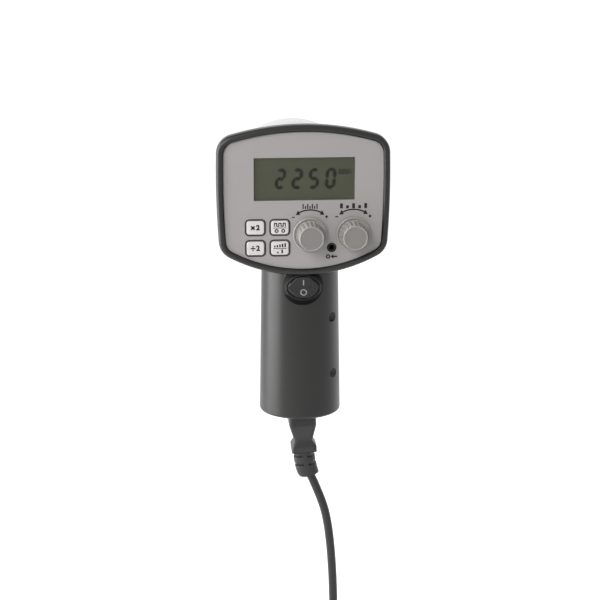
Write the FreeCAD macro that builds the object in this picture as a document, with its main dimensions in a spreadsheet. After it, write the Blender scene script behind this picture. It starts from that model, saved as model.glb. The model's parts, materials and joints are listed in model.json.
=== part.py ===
import FreeCAD, Part
import math
import os
import Sketcher
from FreeCAD import Placement, Rotation, Vector

# A hand-held xenon stroboscope with its mains lead.
# Millimetres. +Z runs up the grip, +Y is the way the lamp shines, so the panel faces -Y.
# The origin is the middle of the grip, where a hand or a clamp holds it.

SIZES = {
    # Case: rim round the panel, head, lamp barrel and grip
    "head_above_grip": 107.0,
    "wall": 2.5,
    "rim_half_width": 60.0,
    "rim_top": 52.6,
    "rim_bottom": 52.6,
    "rim_corner": 13.5,
    "rim_top_bend": 182.0,
    "rim_bottom_bend": 108.0,
    "rim_side_bend": 660.0,
    "rim_side_centre": 15.0,
    "rim_rear": 36.0,
    "rim_depth": 8.0,
    "rim_edge": 2.8,
    "rim_lip": 4.6,
    "panel_seat": 1.8,
    "seat_thickness": 2.6,
    "waist_behind": 3.0,
    "waist_half_width": 50.5,
    "waist_top": 44.5,
    "waist_bottom": 51.5,
    "waist_corner": 20.0,
    "barrel_start": 22.0,
    "barrel_end": 60.0,
    "barrel_radius": 44.5,
    "lamp_drop": 9.0,
    "grip_bottom": 52.5,
    "grip_foot_radius": 29.1,
    "grip_top_radius": 27.1,
    "grip_into_head": 13.0,
    "grip_foot_edge": 2.4,
    # Case screws
    "grip_screw_behind": 17.0,
    "grip_screw_upper": 19.6,
    "grip_screw_pitch": 41.1,
    "head_screw_ahead": 6.0,
    "head_screw_drop": 5.0,
    "barrel_screw_rise": 7.4,
    "screw_boss_radius": 5.2,
    "screw_well_radius": 3.4,
    "screw_well_floor": 7.0,
    "screw_hole_radius": 1.7,
    "screw_pilot_radius": 1.35,
    "screw_pilot_depth": 11.0,
    "screw_shank_radius": 1.3,
    "screw_head_radius": 2.8,
    "screw_head_thickness": 2.2,
    "screw_bite": 9.0,
    # Front panel
    "panel_recess": 1.2,
    "panel_thickness": 2.2,
    "panel_clearance": 0.25,
    "panel_hole_clearance": 0.5,
    # Display
    "window_width": 69.6,
    "window_height": 29.7,
    "window_centre_x": 0.5,
    "window_centre_z": 15.2,
    "window_clearance": 0.2,
    "window_thickness": 1.0,
    "window_recess": 0.3,
    "display_border": 3.0,
    "display_depth": 7.0,
    # Keys
    "key_width": 12.7,
    "key_height": 10.1,
    "key_gap": 0.3,
    "key_proud": 0.8,
    "key_corner": 2.2,
    "key_edge": 0.4,
    "key_flange": 1.0,
    "key_flange_thickness": 1.0,
    "key_flange_clearance": 0.1,
    "key_stem_radius": 1.5,
    "key_stem_bite": 1.2,
    "key_left_x": -33.35,
    "key_pitch_x": 16.9,
    "key_top_z": -18.3,
    "key_pitch_z": 14.5,
    "key_switch_width": 6.2,
    "key_switch_height": 4.0,
    "key_switch_bore": 3.0,
    "running_clearance": 0.05,
    # Speed controls
    "fine_x": 4.4,
    "coarse_x": 34.5,
    "control_z": -23.5,
    "knob_skirt_radius": 11.2,
    "knob_skirt_thickness": 1.5,
    "knob_lift": 0.5,
    "knob_radius": 9.3,
    "knob_top_radius": 8.7,
    "knob_face_radius": 7.2,
    "knob_height": 18.4,
    "knob_chamfer": 1.4,
    "knob_socket_depth": 12.0,
    "flute_radius": 1.0,
    "flute_sink": 0.45,
    "flute_count": 18.0,
    "shaft_radius": 3.0,
    "bush_radius": 4.6,
    "bush_reach": 4.8,
    "nut_radius": 6.4,
    "nut_thickness": 2.0,
    "control_body_radius": 8.5,
    "control_body_depth": 9.0,
    "shaft_end_gap": 1.5,
    # External trigger socket
    "jack_x": 19.5,
    "jack_z": -33.1,
    "jack_hole_radius": 3.35,
    "jack_bore_radius": 1.8,
    "jack_bore_depth": 14.0,
    "jack_body_radius": 4.2,
    "jack_body_depth": 16.0,
    "jack_recess": 0.8,
    # Boards
    "board_thickness": 1.6,
    "board_hole_clearance": 0.2,
    "control_board_width": 96.0,
    "control_board_height": 86.4,
    "board_corner": 18.0,
    "post_radius": 3.2,
    "post_side_x": 44.0,
    "post_side_z": 5.0,
    "post_top_z": 37.0,
    "post_bottom_z": -40.0,
    "post_bottom_x": 5.0,
    "stud_radius": 1.3,
    "stud_length": 4.0,
    "spacer_radius": 2.9,
    "spacer_length": 19.0,
    "power_board_width": 94.0,
    "power_board_height": 85.0,
    "power_board_corner": 27.0,
    "power_board_drop": 3.0,
    "capacitor_width": 26.0,
    "capacitor_height": 16.0,
    "capacitor_depth": 13.0,
    "capacitor_x": 20.0,
    "capacitor_z": 30.0,
    "trigger_coil_size": 14.0,
    "trigger_coil_radius": 5.9,
    "trigger_coil_length": 7.0,
    "trigger_coil_x": -24.0,
    "trigger_coil_z": -8.0,
    "component_edge": 1.2,
    # Power switch
    "switch_drop": 9.2,
    "switch_boss_face": 31.4,
    "switch_boss_slope": 4.0,
    "switch_boss_border": 0.4,
    "switch_boss_flare_x": 2.0,
    "switch_boss_flare_z": 4.8,
    "switch_boss_depth": 15.0,
    "switch_bezel_width": 0.85,
    "switch_bezel_thickness": 1.2,
    "switch_bezel_edge": 0.5,
    "switch_wall": 0.5,
    "switch_body_depth": 16.0,
    "switch_hole_clearance": 0.15,
    "rocker_half_width": 10.65,
    "rocker_half_height": 7.45,
    "rocker_end_share": 0.75,
    "rocker_gap": 0.5,
    "rocker_reach": 7.3,
    "rocker_proud": 2.6,
    "rocker_rest_angle": 8.0,
    "rocker_dish_angle": 8.0,
    "rocker_depth": 3.0,
    "rocker_back_half": 5.5,
    "rocker_swing_room": 1.8,
    "pivot_sink": 1.5,
    "pivot_radius": 1.2,
    "pivot_length": 0.7,
    "tab_width": 4.8,
    "tab_thickness": 0.8,
    "tab_length": 6.0,
    "tab_spacing": 8.0,
    # Lamp
    "seat_ring_width": 1.8,
    "seat_ring_thickness": 2.0,
    "reflector_focus": 11.0,
    "reflector_middle_share": 0.6,
    "reflector_thickness": 1.2,
    "reflector_neck_radius": 9.0,
    "reflector_flange": 1.2,
    "reflector_seat": 55.5,
    "reflector_clearance": 0.3,
    "lamp_base_radius": 13.0,
    "lamp_base_thickness": 6.0,
    "lamp_base_nose": 4.0,
    "tube_radius": 2.7,
    "tube_leg_spacing": 15.0,
    "tube_leg_length": 17.0,
    "electrode_radius": 1.9,
    "electrode_length": 5.0,
    "gasket_width": 2.2,
    "cover_thickness": 2.2,
    "cover_clearance": 0.25,
    "cover_skirt": 8.0,
    "cover_hood": 18.0,
    "cover_hood_radius": 50.0,
    # Mains transformer in the grip
    "transformer_width": 30.0,
    "transformer_depth": 22.0,
    "transformer_height": 34.0,
    "transformer_y": 5.0,
    "transformer_z": -18.0,
    "winding_swell": 3.0,
    "winding_inset": 6.0,
    "shelf_thickness": 2.0,
    "shelf_width": 5.0,
    # Appliance inlet and connector under the grip
    "inlet_width": 21.0,
    "inlet_depth": 28.4,
    "inlet_height": 22.0,
    "inlet_wall": 1.5,
    "inlet_clearance": 0.15,
    "inlet_flange": 1.6,
    "pin_width": 2.0,
    "pin_depth": 4.0,
    "pin_length": 13.0,
    "pin_spacing": 7.0,
    "pin_offset": 3.0,
    "plug_in_width": 16.0,
    "plug_in_depth": 23.6,
    "plug_in_length": 13.5,
    "pin_slot_clearance": 1.1,
    "connector_shift": 0.8,
    "connector_lean": 4.0,
    "connector_gap": 0.9,
    "connector_width": 19.6,
    "connector_depth": 27.4,
    "connector_block": 9.0,
    "connector_taper": 13.5,
    "connector_corner": 2.4,
    "neck_width": 13.2,
    "neck_depth": 15.0,
    "ear_width": 18.2,
    "ear_depth": 18.2,
    "ear_rise": 4.0,
    "ear_length": 4.5,
    "relief_radius": 7.2,
    "relief_end_radius": 5.6,
    "relief_length": 20.0,
    "relief_end_angle": 24.0,
    "relief_slot_width": 2.0,
    "relief_slot_web": 1.6,
    # Lead
    "cord_radius": 3.15,
    "coil_turns": 3.0,
    "coil_outer_radius": 48.0,
    "coil_spacing": 7.2,
    "coil_centre_x": -24.0,
    "coil_centre_y": 86.0,
    "ground_z": -330.0,
    "tie_thickness": 1.2,
    "tie_width": 10.0,
    "tie_clearance": 0.15,
    # Mains plug
    "plug_length": 30.0,
    "plug_width": 26.0,
    "plug_corner": 3.9,
    "plug_relief_length": 22.0,
    "plug_relief_radius": 5.4,
    "blade_width": 6.3,
    "blade_thickness": 1.5,
    "blade_length": 17.0,
    "blade_spacing": 12.7,
    "blade_rise": 4.0,
    "earth_radius": 2.4,
    "earth_length": 20.0,
    "earth_offset": 11.9,
}

# The lead's route from the strain relief to the coil. Its first run follows the relief, its last the coil.
FIRST_RUN = 18.0
LAST_RUN = 17.0
CORD_ROUTE = (
    (20.6, -0.6, -139.0),
    (24.0, -1.4, -172.0),
    (25.4, -1.8, -214.0),
    (25.0, 0.4, -254.0),
    (24.2, 8.0, -287.0),
    (23.8, 25.0, -310.0),
    (24.1, 44.0, -323.0),
)
# Steps of the lead between the coil and the plug, each a length and a turn to the right.
TAIL_STEPS = ((15.0, 0.0), (19.0, 13.0), (15.0, 11.0))
# Share of a run that the arc at either end takes, and how far round the coil the tie sits, in turns.
CORNER_SHARE = 0.45
TIE_TURN = 0.75
# Sections of the strain relief, and those that hold a slot.
RELIEF_STEPS = 6
RELIEF_SLOTS = (1, 3)

doc = FreeCAD.newDocument("xenon_stroboscope")
pieces = []


# Sizes


class Size:
    """A length or an angle: its number, and the expression that ties it to the sheet."""

    def __init__(self, number, text):
        self.number = number
        self.text = text

    def __add__(self, other):
        other = as_size(other)
        return Size(self.number + other.number, f"({self.text} + {other.text})")

    def __sub__(self, other):
        other = as_size(other)
        return Size(self.number - other.number, f"({self.text} - {other.text})")

    def __mul__(self, other):
        other = as_size(other)
        return Size(self.number * other.number, f"({self.text} * {other.text})")

    def __truediv__(self, other):
        other = as_size(other)
        return Size(self.number / other.number, f"({self.text} / {other.text})")

    def __neg__(self):
        return Size(-self.number, f"(0 - {self.text})")

    def __float__(self):
        return self.number

    __radd__ = __add__
    __rmul__ = __mul__


def as_size(value):
    """Return a plain number as a Size, and a Size as it is."""
    if isinstance(value, Size):
        return value
    return Size(float(value), repr(float(value)))


def root(size):
    """Return the square root of a size."""
    return Size(math.sqrt(size.number), f"sqrt({size.text})")


class SizeSheet:
    """The sheet of driving sizes, read as attributes."""

    def __init__(self, sizes):
        self.sheet = doc.addObject("Spreadsheet::Sheet", "Sizes")
        for row, (name, number) in enumerate(sizes.items(), start=1):
            self.sheet.set(f"A{row}", name.replace("_", " "))
            self.sheet.set(f"B{row}", str(number))
            self.sheet.setAlias(f"B{row}", name)
        doc.recompute()

    def __getattr__(self, name):
        return Size(float(self.sheet.get(name)), f"Sizes.{name}")


s = SizeSheet(SIZES)
ZERO = Size(0.0, "0")
FULL_TURN = 360.0
HALF_TURN = 180.0
QUARTER_TURN = 90.0
FAR = s.rim_half_width * 3


def bind(thing, **sizes):
    """Tie properties of a feature to sizes, such as Length or Radius."""
    for name, size in sizes.items():
        thing.setExpression(name, as_size(size).text)


def place(thing, x=ZERO, y=ZERO, z=ZERO):
    """Tie a piece's position to sizes."""
    for axis, size in (("x", x), ("y", y), ("z", z)):
        thing.setExpression(f"Placement.Base.{axis}", as_size(size).text)


# Sketches


class Bend:
    """An arc between two corners of an outline, with its centre left or right of the way there."""

    def __init__(self, radius, left=True):
        self.radius = as_size(radius)
        self.left = left


class Outline:
    """A closed outline on one of a body's own planes, with every corner placed from its centre."""

    def __init__(self, body, plane, offset=ZERO):
        self.plane = plane
        self.sketch = body.newObject("Sketcher::SketchObject", f"{body.Name}_outline")
        planes = body.Origin.OriginFeatures
        self.sketch.AttachmentSupport = [(next(p for p in planes if p.Role == f"{plane}_Plane"), "")]
        self.sketch.MapMode = "FlatFace"
        lift = -offset if plane == "XZ" else as_size(offset)
        self.sketch.setExpression("AttachmentOffset.Base.z", lift.text)

    def hold(self, kind, *items):
        """Add a constraint; the last item may be a size, which is then tied to the sheet."""
        if not isinstance(items[-1], Size):
            return self.sketch.addConstraint(Sketcher.Constraint(kind, *items))
        number = self.sketch.addConstraint(Sketcher.Constraint(kind, *items[:-1], items[-1].number))
        self.sketch.setExpression(f"Constraints[{number}]", items[-1].text)
        return number

    def pin(self, shape, point, x, y):
        """Place one point of a line, arc or circle."""
        self.hold("DistanceX", -1, 1, shape, point, as_size(x))
        self.hold("DistanceY", -1, 1, shape, point, as_size(y))

    def circle(self, x, y, radius):
        """Draw a circle."""
        x, y, radius = as_size(x), as_size(y), as_size(radius)
        curve = Part.Circle(Vector(x.number, y.number, 0), Vector(0, 0, 1), radius.number)
        shape = self.sketch.addGeometry(curve)
        self.pin(shape, 3, x, y)
        self.hold("Radius", shape, radius)
        return self

    def path(self, *steps):
        """Draw a closed outline through corners, with a line or a Bend from each to the next."""
        corners = []
        bends = []
        for step in steps:
            if isinstance(step, Bend):
                bends[-1] = step
                continue
            corners.append((as_size(step[0]), as_size(step[1])))
            bends.append(None)
        shapes = []
        for index, bend in enumerate(bends):
            start = Vector(*(value.number for value in corners[index]), 0)
            end = Vector(*(value.number for value in corners[(index + 1) % len(corners)]), 0)
            curve = Part.LineSegment(start, end) if bend is None else bend_arc(start, end, bend)
            shapes.append((self.sketch.addGeometry(curve), bend))
        for index, (shape, bend) in enumerate(shapes):
            before, before_bend = shapes[index - 1]
            self.hold("Coincident", before, end_point(before_bend), shape, start_point(bend))
            self.pin(shape, start_point(bend), *corners[index])
            if bend is not None:
                self.hold("Radius", shape, bend.radius)
        return self

    def box(self, x, y, width, height):
        """Draw a rectangle about its centre."""
        x, y, half_w, half_h = as_size(x), as_size(y), as_size(width) / 2, as_size(height) / 2
        return self.path(
            (x - half_w, y - half_h), (x + half_w, y - half_h),
            (x + half_w, y + half_h), (x - half_w, y + half_h),
        )

    def round_box(self, x, y, width, height, corner):
        """Draw a rectangle with round corners about its centre."""
        x, y, half_w, half_h = as_size(x), as_size(y), as_size(width) / 2, as_size(height) / 2
        bend = Bend(corner)
        return self.path(
            (x - half_w + corner, y - half_h), (x + half_w - corner, y - half_h), bend,
            (x + half_w, y - half_h + corner), (x + half_w, y + half_h - corner), bend,
            (x + half_w - corner, y + half_h), (x - half_w + corner, y + half_h), bend,
            (x - half_w, y + half_h - corner), (x - half_w, y - half_h + corner), bend,
        )

    def oval(self, x, y, half_width, half_height):
        """Draw an oval about its centre: two wide arcs and two tight ones that meet smoothly."""
        x, y, half_w, half_h = as_size(x), as_size(y), as_size(half_width), as_size(half_height)
        end = half_h * s.rocker_end_share
        wide = (half_w * half_w + half_h * half_h - half_w * end * 2) / ((half_h - end) * 2)
        across = wide * (half_w - end) / (wide - end)
        up = end * (wide - half_h) / (wide - end)
        return self.path(
            (x + across, y - up), Bend(end), (x + across, y + up), Bend(wide),
            (x - across, y + up), Bend(end), (x - across, y - up), Bend(wide),
        )


def bend_arc(start, end, bend):
    """Return the arc of a bend between two points of a sketch."""
    chord = end - start
    side = Vector(-chord.y, chord.x, 0).normalize()
    height = math.sqrt(max(bend.radius.number**2 - (chord.Length / 2)**2, 0.0))
    centre = (start + end) / 2 + side * (height if bend.left else -height)
    circle = Part.Circle(centre, Vector(0, 0, 1), bend.radius.number)
    first, last = (start, end) if bend.left else (end, start)
    return Part.ArcOfCircle(circle, circle.parameter(first), circle.parameter(last))


def start_point(bend):
    """Return the sketch's number for the point where a line or bend begins."""
    return 1 if bend is None or bend.left else 2


def end_point(bend):
    """Return the sketch's number for the point where a line or bend ends."""
    return 2 if bend is None or bend.left else 1


# Features


def new_body(label, x=ZERO, y=ZERO, z=ZERO, keep=True):
    """Start a body at its place in the part."""
    body = doc.addObject("PartDesign::Body", label)
    body.Label = label
    place(body, x, y, z)
    if keep:
        pieces.append(body)
    return body


def pad(body, outline, length, forward=True):
    """Raise an outline along its plane's own axis, forward or back."""
    feature = body.newObject("PartDesign::Pad", "pad")
    feature.Profile = outline.sketch
    feature.Reversed = forward == (outline.plane == "XZ")
    bind(feature, Length=length)
    return feature


def pocket(body, outline, length, forward=True):
    """Cut an outline along its plane's own axis, forward or back."""
    feature = body.newObject("PartDesign::Pocket", "pocket")
    feature.Profile = outline.sketch
    feature.Reversed = forward != (outline.plane == "XZ")
    bind(feature, Length=length)
    return feature


def revolve(body, outline, kind="Revolution"):
    """Turn an outline once round its plane's upright axis."""
    feature = body.newObject(f"PartDesign::{kind}", kind.lower())
    feature.Profile = outline.sketch
    feature.ReferenceAxis = (outline.sketch, ["V_Axis"])
    feature.Angle = FULL_TURN
    return feature


def loft(body, outlines):
    """Join outlines in one smooth skin."""
    feature = body.newObject("PartDesign::AdditiveLoft", "loft")
    feature.Profile = outlines[0].sketch
    feature.Sections = [outline.sketch for outline in outlines[1:]]
    return feature


def soften(body, radius, chosen, kind="Fillet"):
    """Round or bevel the edges of a body that a test picks out."""
    doc.recompute()
    base = body.Tip
    names = [f"Edge{n}" for n, edge in enumerate(base.Shape.Edges, start=1) if chosen(edge)]
    feature = body.newObject(f"PartDesign::{kind}", kind.lower())
    feature.Base = (base, names)
    bind(feature, **({"Radius": radius} if kind == "Fillet" else {"Size": radius}))
    return feature


def flat_at(edge, axis, level):
    """Tell whether an edge lies at one level along an axis."""
    box = edge.BoundBox
    low, high = getattr(box, f"{axis}Min"), getattr(box, f"{axis}Max")
    return abs(low - level) < 0.01 and abs(high - level) < 0.01


def runs_along(edge, axis):
    """Tell whether an edge is a straight one along an axis."""
    if not isinstance(edge.Curve, Part.Line):
        return False
    return abs(abs(edge.tangentAt(edge.FirstParameter).dot(axis)) - 1) < 0.001


# Primitives and booleans

TURNS = {
    "+X": Rotation(Vector(0, 1, 0), QUARTER_TURN),
    "-X": Rotation(Vector(0, 1, 0), -QUARTER_TURN),
    "+Y": Rotation(Vector(1, 0, 0), -QUARTER_TURN),
    "-Y": Rotation(Vector(1, 0, 0), QUARTER_TURN),
    "+Z": Rotation(),
    "-Z": Rotation(Vector(1, 0, 0), HALF_TURN),
}


def cylinder(along, x, y, z, radius, length):
    """Make a cylinder from a point along an axis."""
    solid = doc.addObject("Part::Cylinder", "cylinder")
    solid.Placement = Placement(Vector(), TURNS[along])
    place(solid, x, y, z)
    bind(solid, Radius=radius, Height=length)
    return solid


def block(x, y, z, length, width, height):
    """Make a box from its low corner."""
    solid = doc.addObject("Part::Box", "box")
    place(solid, x, y, z)
    bind(solid, Length=length, Width=width, Height=height)
    return solid


def centred_block(x, y, z, length, width, height):
    """Make a box about its centre in X and Y, standing on its low face."""
    return block(as_size(x) - as_size(length) / 2, as_size(y) - as_size(width) / 2, z, length, width, height)


def fuse(*solids):
    """Join solids into one."""
    if len(solids) == 1:
        return solids[0]
    joined = doc.addObject("Part::MultiFuse", "fusion")
    joined.Shapes = list(solids)
    return joined


def cut(base, *tools):
    """Cut tools from a solid."""
    result = doc.addObject("Part::Cut", "cut")
    result.Base = base
    result.Tool = fuse(*tools)
    return result


def common(first, second):
    """Keep what two solids share."""
    result = doc.addObject("Part::Common", "common")
    result.Base = first
    result.Tool = second
    return result


def group(solids):
    """Keep separate solids together in one node."""
    result = doc.addObject("Part::Compound", "group")
    result.Links = list(solids)
    return result


def node(label, result):
    """Name a finished piece and keep it."""
    result.Label = label
    pieces.append(result)
    return result


def rounded(solid, radius, chosen):
    """Round the edges of a boolean's result that a test picks out."""
    doc.recompute()
    names = [n for n, edge in enumerate(solid.Shape.Edges, start=1) if chosen(edge)]
    result = doc.addObject("Part::Fillet", "fillet")
    result.Base = solid
    result.Edges = [(n, as_size(radius).number, as_size(radius).number) for n in names]
    return result


# Levels along the lamp's axis and up the grip

rim_rear = -s.rim_rear
rim_front = rim_rear + s.rim_depth
panel_face = rim_rear + s.panel_recess
panel_back = panel_face + s.panel_thickness
seat_front = panel_back + s.seat_thickness
board_back_face = panel_back + s.display_depth
control_board_back = board_back_face + s.board_thickness
power_board_back = control_board_back + s.spacer_length
power_board_front = power_board_back + s.board_thickness
lamp_z = s.head_above_grip - s.lamp_drop
grip_top = s.head_above_grip - s.rim_bottom + s.grip_into_head
switch_z = s.head_above_grip - s.rim_bottom - s.switch_drop


# Case


def rim_outline(body, level, half_width, top, bottom, corner, inset=ZERO):
    """Draw the arched outline of the head: four wide arcs joined by four tight ones."""
    outline = Outline(body, "XZ", level)
    middle = s.head_above_grip
    side_z = middle + s.rim_side_centre
    wide = (
        (ZERO, middle + top - s.rim_top_bend, s.rim_top_bend - inset),
        (s.rim_side_bend - half_width, side_z, s.rim_side_bend - inset),
        (ZERO, middle - bottom + s.rim_bottom_bend, s.rim_bottom_bend - inset),
        (half_width - s.rim_side_bend, side_z, s.rim_side_bend - inset),
    )
    tight = corner - inset
    centres = []
    for index, arc in enumerate(wide):
        between = QUARTER_TURN * (index + 1) + QUARTER_TURN / 2
        centres.append(corner_centre(arc, wide[(index + 1) % len(wide)], tight, between))
    shapes = []
    for index, (x, z, radius) in enumerate(wide):
        centre = Vector(float(x), float(z), 0)
        first = centre + (centres[index - 1] - centre).normalize() * float(radius)
        last = centre + (centres[index] - centre).normalize() * float(radius)
        shapes.append(draw_arc(outline, centre, radius, first, last))
        outline.pin(shapes[-1], 3, x, z)
        following = wide[(index + 1) % len(wide)]
        next_centre = Vector(float(following[0]), float(following[1]), 0)
        meet = next_centre + (centres[index] - next_centre).normalize() * float(following[2])
        shapes.append(draw_arc(outline, centres[index], tight, last, meet))
    for index, shape in enumerate(shapes):
        outline.hold("Tangent", shapes[index - 1], 2, shape, 1)
    return outline


def corner_centre(first, second, tight, between):
    """Return the centre of a tight arc that touches two wide ones from inside, at an angle between them."""
    centre = Vector(float(first[0]), float(first[1]), 0)
    other = Vector(float(second[0]), float(second[1]), 0)
    reach = float(first[2]) - float(tight)
    other_reach = float(second[2]) - float(tight)
    span = other - centre
    along = (reach**2 - other_reach**2 + span.Length**2) / (2 * span.Length)
    across = math.sqrt(reach**2 - along**2)
    way = Vector(span).normalize()
    side = Vector(-way.y, way.x, 0)
    options = (centre + way * along + side * across, centre + way * along - side * across)
    corner_way = math.radians(between)
    pointer = Vector(math.cos(corner_way), math.sin(corner_way), 0)
    return max(options, key=pointer.dot)


def draw_arc(outline, centre, radius, first, last):
    """Add one arc that runs anticlockwise, with its radius tied to the sheet."""
    circle = Part.Circle(centre, Vector(0, 0, 1), float(radius))
    arc = Part.ArcOfCircle(circle, circle.parameter(first), circle.parameter(last))
    shape = outline.sketch.addGeometry(arc)
    outline.hold("Radius", shape, as_size(radius))
    return shape


def barrel_outline(body, level, radius):
    """Draw the lamp barrel's circle as eight arcs, so that the head can blend into it."""
    outline = Outline(body, "XZ", level)
    centre = Vector(0, float(lamp_z), 0)
    splits = (52.0, 128.0, 143.0, 217.0, 232.0, 308.0, 323.0, 37.0)
    ways = [Vector(math.cos(math.radians(a)), math.sin(math.radians(a)), 0) for a in splits]
    for index, way in enumerate(ways):
        following = ways[(index + 1) % len(ways)]
        first, last = centre + way * float(radius), centre + following * float(radius)
        shape = draw_arc(outline, centre, radius, first, last)
        outline.pin(shape, 3, ZERO, lamp_z)
        outline.hold("DistanceX", -1, 1, shape, 1, radius * way.x)
        outline.hold("DistanceX", -1, 1, shape, 2, radius * following.x)
    return outline


well_border = s.rocker_gap
housing_border = well_border + s.switch_wall
bezel_border = well_border + s.switch_bezel_width
boss_border = bezel_border + s.switch_boss_border


def switch_oval(body, level, border, z=switch_z):
    """Draw the rocker's oval with a border all round, on a plane across the switch."""
    return Outline(body, "XZ", level).oval(
        ZERO, z, s.rocker_half_width + border, s.rocker_half_height + border)


def switch_boss_foot(body, level):
    """Draw the oval where the switch's boss flares into the grip."""
    return Outline(body, "XZ", level).oval(
        ZERO, switch_z,
        s.rocker_half_width + boss_border + s.switch_boss_flare_x,
        s.rocker_half_height + boss_border + s.switch_boss_flare_z,
    )


def make_case_outside():
    """Model the outside of both case halves as one solid."""
    body = new_body("case_outside", keep=False)
    rim = (s.rim_half_width, s.rim_top, s.rim_bottom, s.rim_corner)
    waist = (s.waist_half_width, s.waist_top, s.waist_bottom, s.waist_corner)
    pad(body, rim_outline(body, rim_rear, *rim), s.rim_depth)
    soften(body, s.rim_edge, lambda edge: flat_at(edge, "Y", float(rim_rear)))
    loft(body, [
        rim_outline(body, rim_front, *rim),
        rim_outline(body, -s.waist_behind, *waist),
        barrel_outline(body, s.barrel_start, s.barrel_radius),
    ])
    barrel = Outline(body, "XZ", s.barrel_start).circle(ZERO, lamp_z, s.barrel_radius)
    pad(body, barrel, s.barrel_end - s.barrel_start)
    boss_base = -s.switch_boss_face + s.switch_boss_slope
    loft(body, [
        switch_oval(body, -s.switch_boss_face, boss_border),
        switch_boss_foot(body, boss_base),
    ])
    pad(body, switch_boss_foot(body, boss_base), s.switch_boss_depth)
    grip = Outline(body, "XZ").path(
        (ZERO, -s.grip_bottom), (s.grip_foot_radius, -s.grip_bottom),
        (s.grip_top_radius, grip_top), (ZERO, grip_top),
    )
    revolve(body, grip)
    soften(body, s.grip_foot_edge, lambda edge: flat_at(edge, "Z", -float(s.grip_bottom)))
    return body


def screw_places():
    """Return where the case screws sit, as Y and Z of each."""
    rear = -s.grip_screw_behind
    lower = s.grip_screw_upper - s.grip_screw_pitch
    head_top = s.head_above_grip + s.waist_top - s.wall - s.screw_boss_radius - s.head_screw_drop
    barrel_low = lamp_z - s.barrel_radius + s.wall + s.barrel_screw_rise
    return (
        (rear, s.grip_screw_upper), (rear, lower), (s.head_screw_ahead, head_top),
        (s.barrel_start, barrel_low),
    )


def make_case_hollow():
    """Model the space inside the case, with the bosses, ledges and seats left out of it."""
    body = new_body("case_hollow", keep=False)
    rim = (s.rim_half_width, s.rim_top, s.rim_bottom, s.rim_corner)
    waist = (s.waist_half_width, s.waist_top, s.waist_bottom, s.waist_corner)
    over = s.wall
    recess = rim_outline(body, rim_rear - over, *rim, inset=s.rim_lip)
    pad(body, recess, panel_back - rim_rear + over)
    opening = rim_outline(body, panel_back, *rim, inset=s.rim_lip + s.panel_seat)
    pad(body, opening, s.seat_thickness)
    collar = rim_outline(body, seat_front, *rim, inset=s.wall)
    pad(body, collar, rim_front - seat_front)
    loft(body, [
        rim_outline(body, rim_front, *rim, inset=s.wall),
        rim_outline(body, -s.waist_behind, *waist, inset=s.wall),
        barrel_outline(body, s.barrel_start, s.barrel_radius - s.wall),
    ])
    barrel = Outline(body, "XZ", s.barrel_start).circle(ZERO, lamp_z, s.barrel_radius - s.wall)
    pad(body, barrel, s.barrel_end - s.barrel_start + over)
    grip = Outline(body, "XZ").path(
        (ZERO, -s.grip_bottom + s.wall), (s.grip_foot_radius - s.wall, -s.grip_bottom + s.wall),
        (s.grip_top_radius - s.wall, grip_top), (ZERO, grip_top),
    )
    revolve(body, grip)
    for low in (s.transformer_z - s.shelf_thickness, s.transformer_z + s.transformer_height):
        shelf = Outline(body, "XZ").path(
            (s.grip_top_radius - s.wall - s.shelf_width, low),
            (s.grip_foot_radius, low),
            (s.grip_foot_radius, low + s.shelf_thickness),
            (s.grip_top_radius - s.wall - s.shelf_width, low + s.shelf_thickness),
        )
        revolve(body, shelf, "Groove")
    return body


def make_case_halves():
    """Cut the hollow from the outside and split it down the middle."""
    outside = make_case_outside()
    hollow = make_case_hollow()
    bosses = [
        cylinder("+X", -FAR, y, z, s.screw_boss_radius, FAR * 2) for y, z in screw_places()
    ]
    seat_start = s.reflector_seat - s.seat_ring_thickness
    ring = cut(
        cylinder("+Y", ZERO, seat_start, lamp_z, s.barrel_radius, s.seat_ring_thickness),
        cylinder("+Y", ZERO, seat_start, lamp_z, s.barrel_radius - s.wall - s.seat_ring_width,
                 s.seat_ring_thickness),
    )
    shell = cut(outside, cut(hollow, *bosses, ring))
    switch_hole = new_body("switch_hole", keep=False)
    hole = switch_oval(switch_hole, -s.rim_rear, housing_border + s.switch_hole_clearance)
    pad(switch_hole, hole, s.rim_rear)
    inlet_hole = centred_block(ZERO, ZERO, -s.grip_bottom - s.wall,
                               s.inlet_width + s.inlet_clearance * 2,
                               s.inlet_depth + s.inlet_clearance * 2, s.wall * 3)
    open_shell = cut(shell, switch_hole, inlet_hole)
    height = FAR * 3
    left_side = block(-FAR, -FAR, -height / 2, FAR, FAR * 2, height)
    right_side = block(ZERO, -FAR, -height / 2, FAR, FAR * 2, height)
    pilots = [
        cylinder("-X", ZERO, y, z, s.screw_pilot_radius, s.screw_pilot_depth)
        for y, z in screw_places()
    ]
    wells = []
    for y, z in screw_places():
        wells.append(cylinder("+X", s.screw_well_floor, y, z, s.screw_well_radius, FAR))
        wells.append(cylinder("+X", ZERO, y, z, s.screw_hole_radius, FAR))
    node("left_case_half", cut(common(open_shell, left_side), *pilots))
    node("right_case_half", cut(common(open_shell, right_side), *wells))


def make_screw(along, x, y, z, shank_length):
    """Make a pan-head screw whose head seats at a point, with its shank along an axis."""
    back = {"+X": "-X", "-X": "+X", "+Y": "-Y", "-Y": "+Y"}[along]
    head = cylinder(back, x, y, z, s.screw_head_radius, s.screw_head_thickness)
    shank = cylinder(along, x, y, z, s.screw_shank_radius, shank_length)
    return fuse(head, shank)


def make_case_screws():
    """Put one screw in each well."""
    length = s.screw_well_floor + s.screw_bite
    screws = [make_screw("-X", s.screw_well_floor, y, z, length) for y, z in screw_places()]
    node("case_screws", group(screws))


# Front panel and what looks through it


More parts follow.
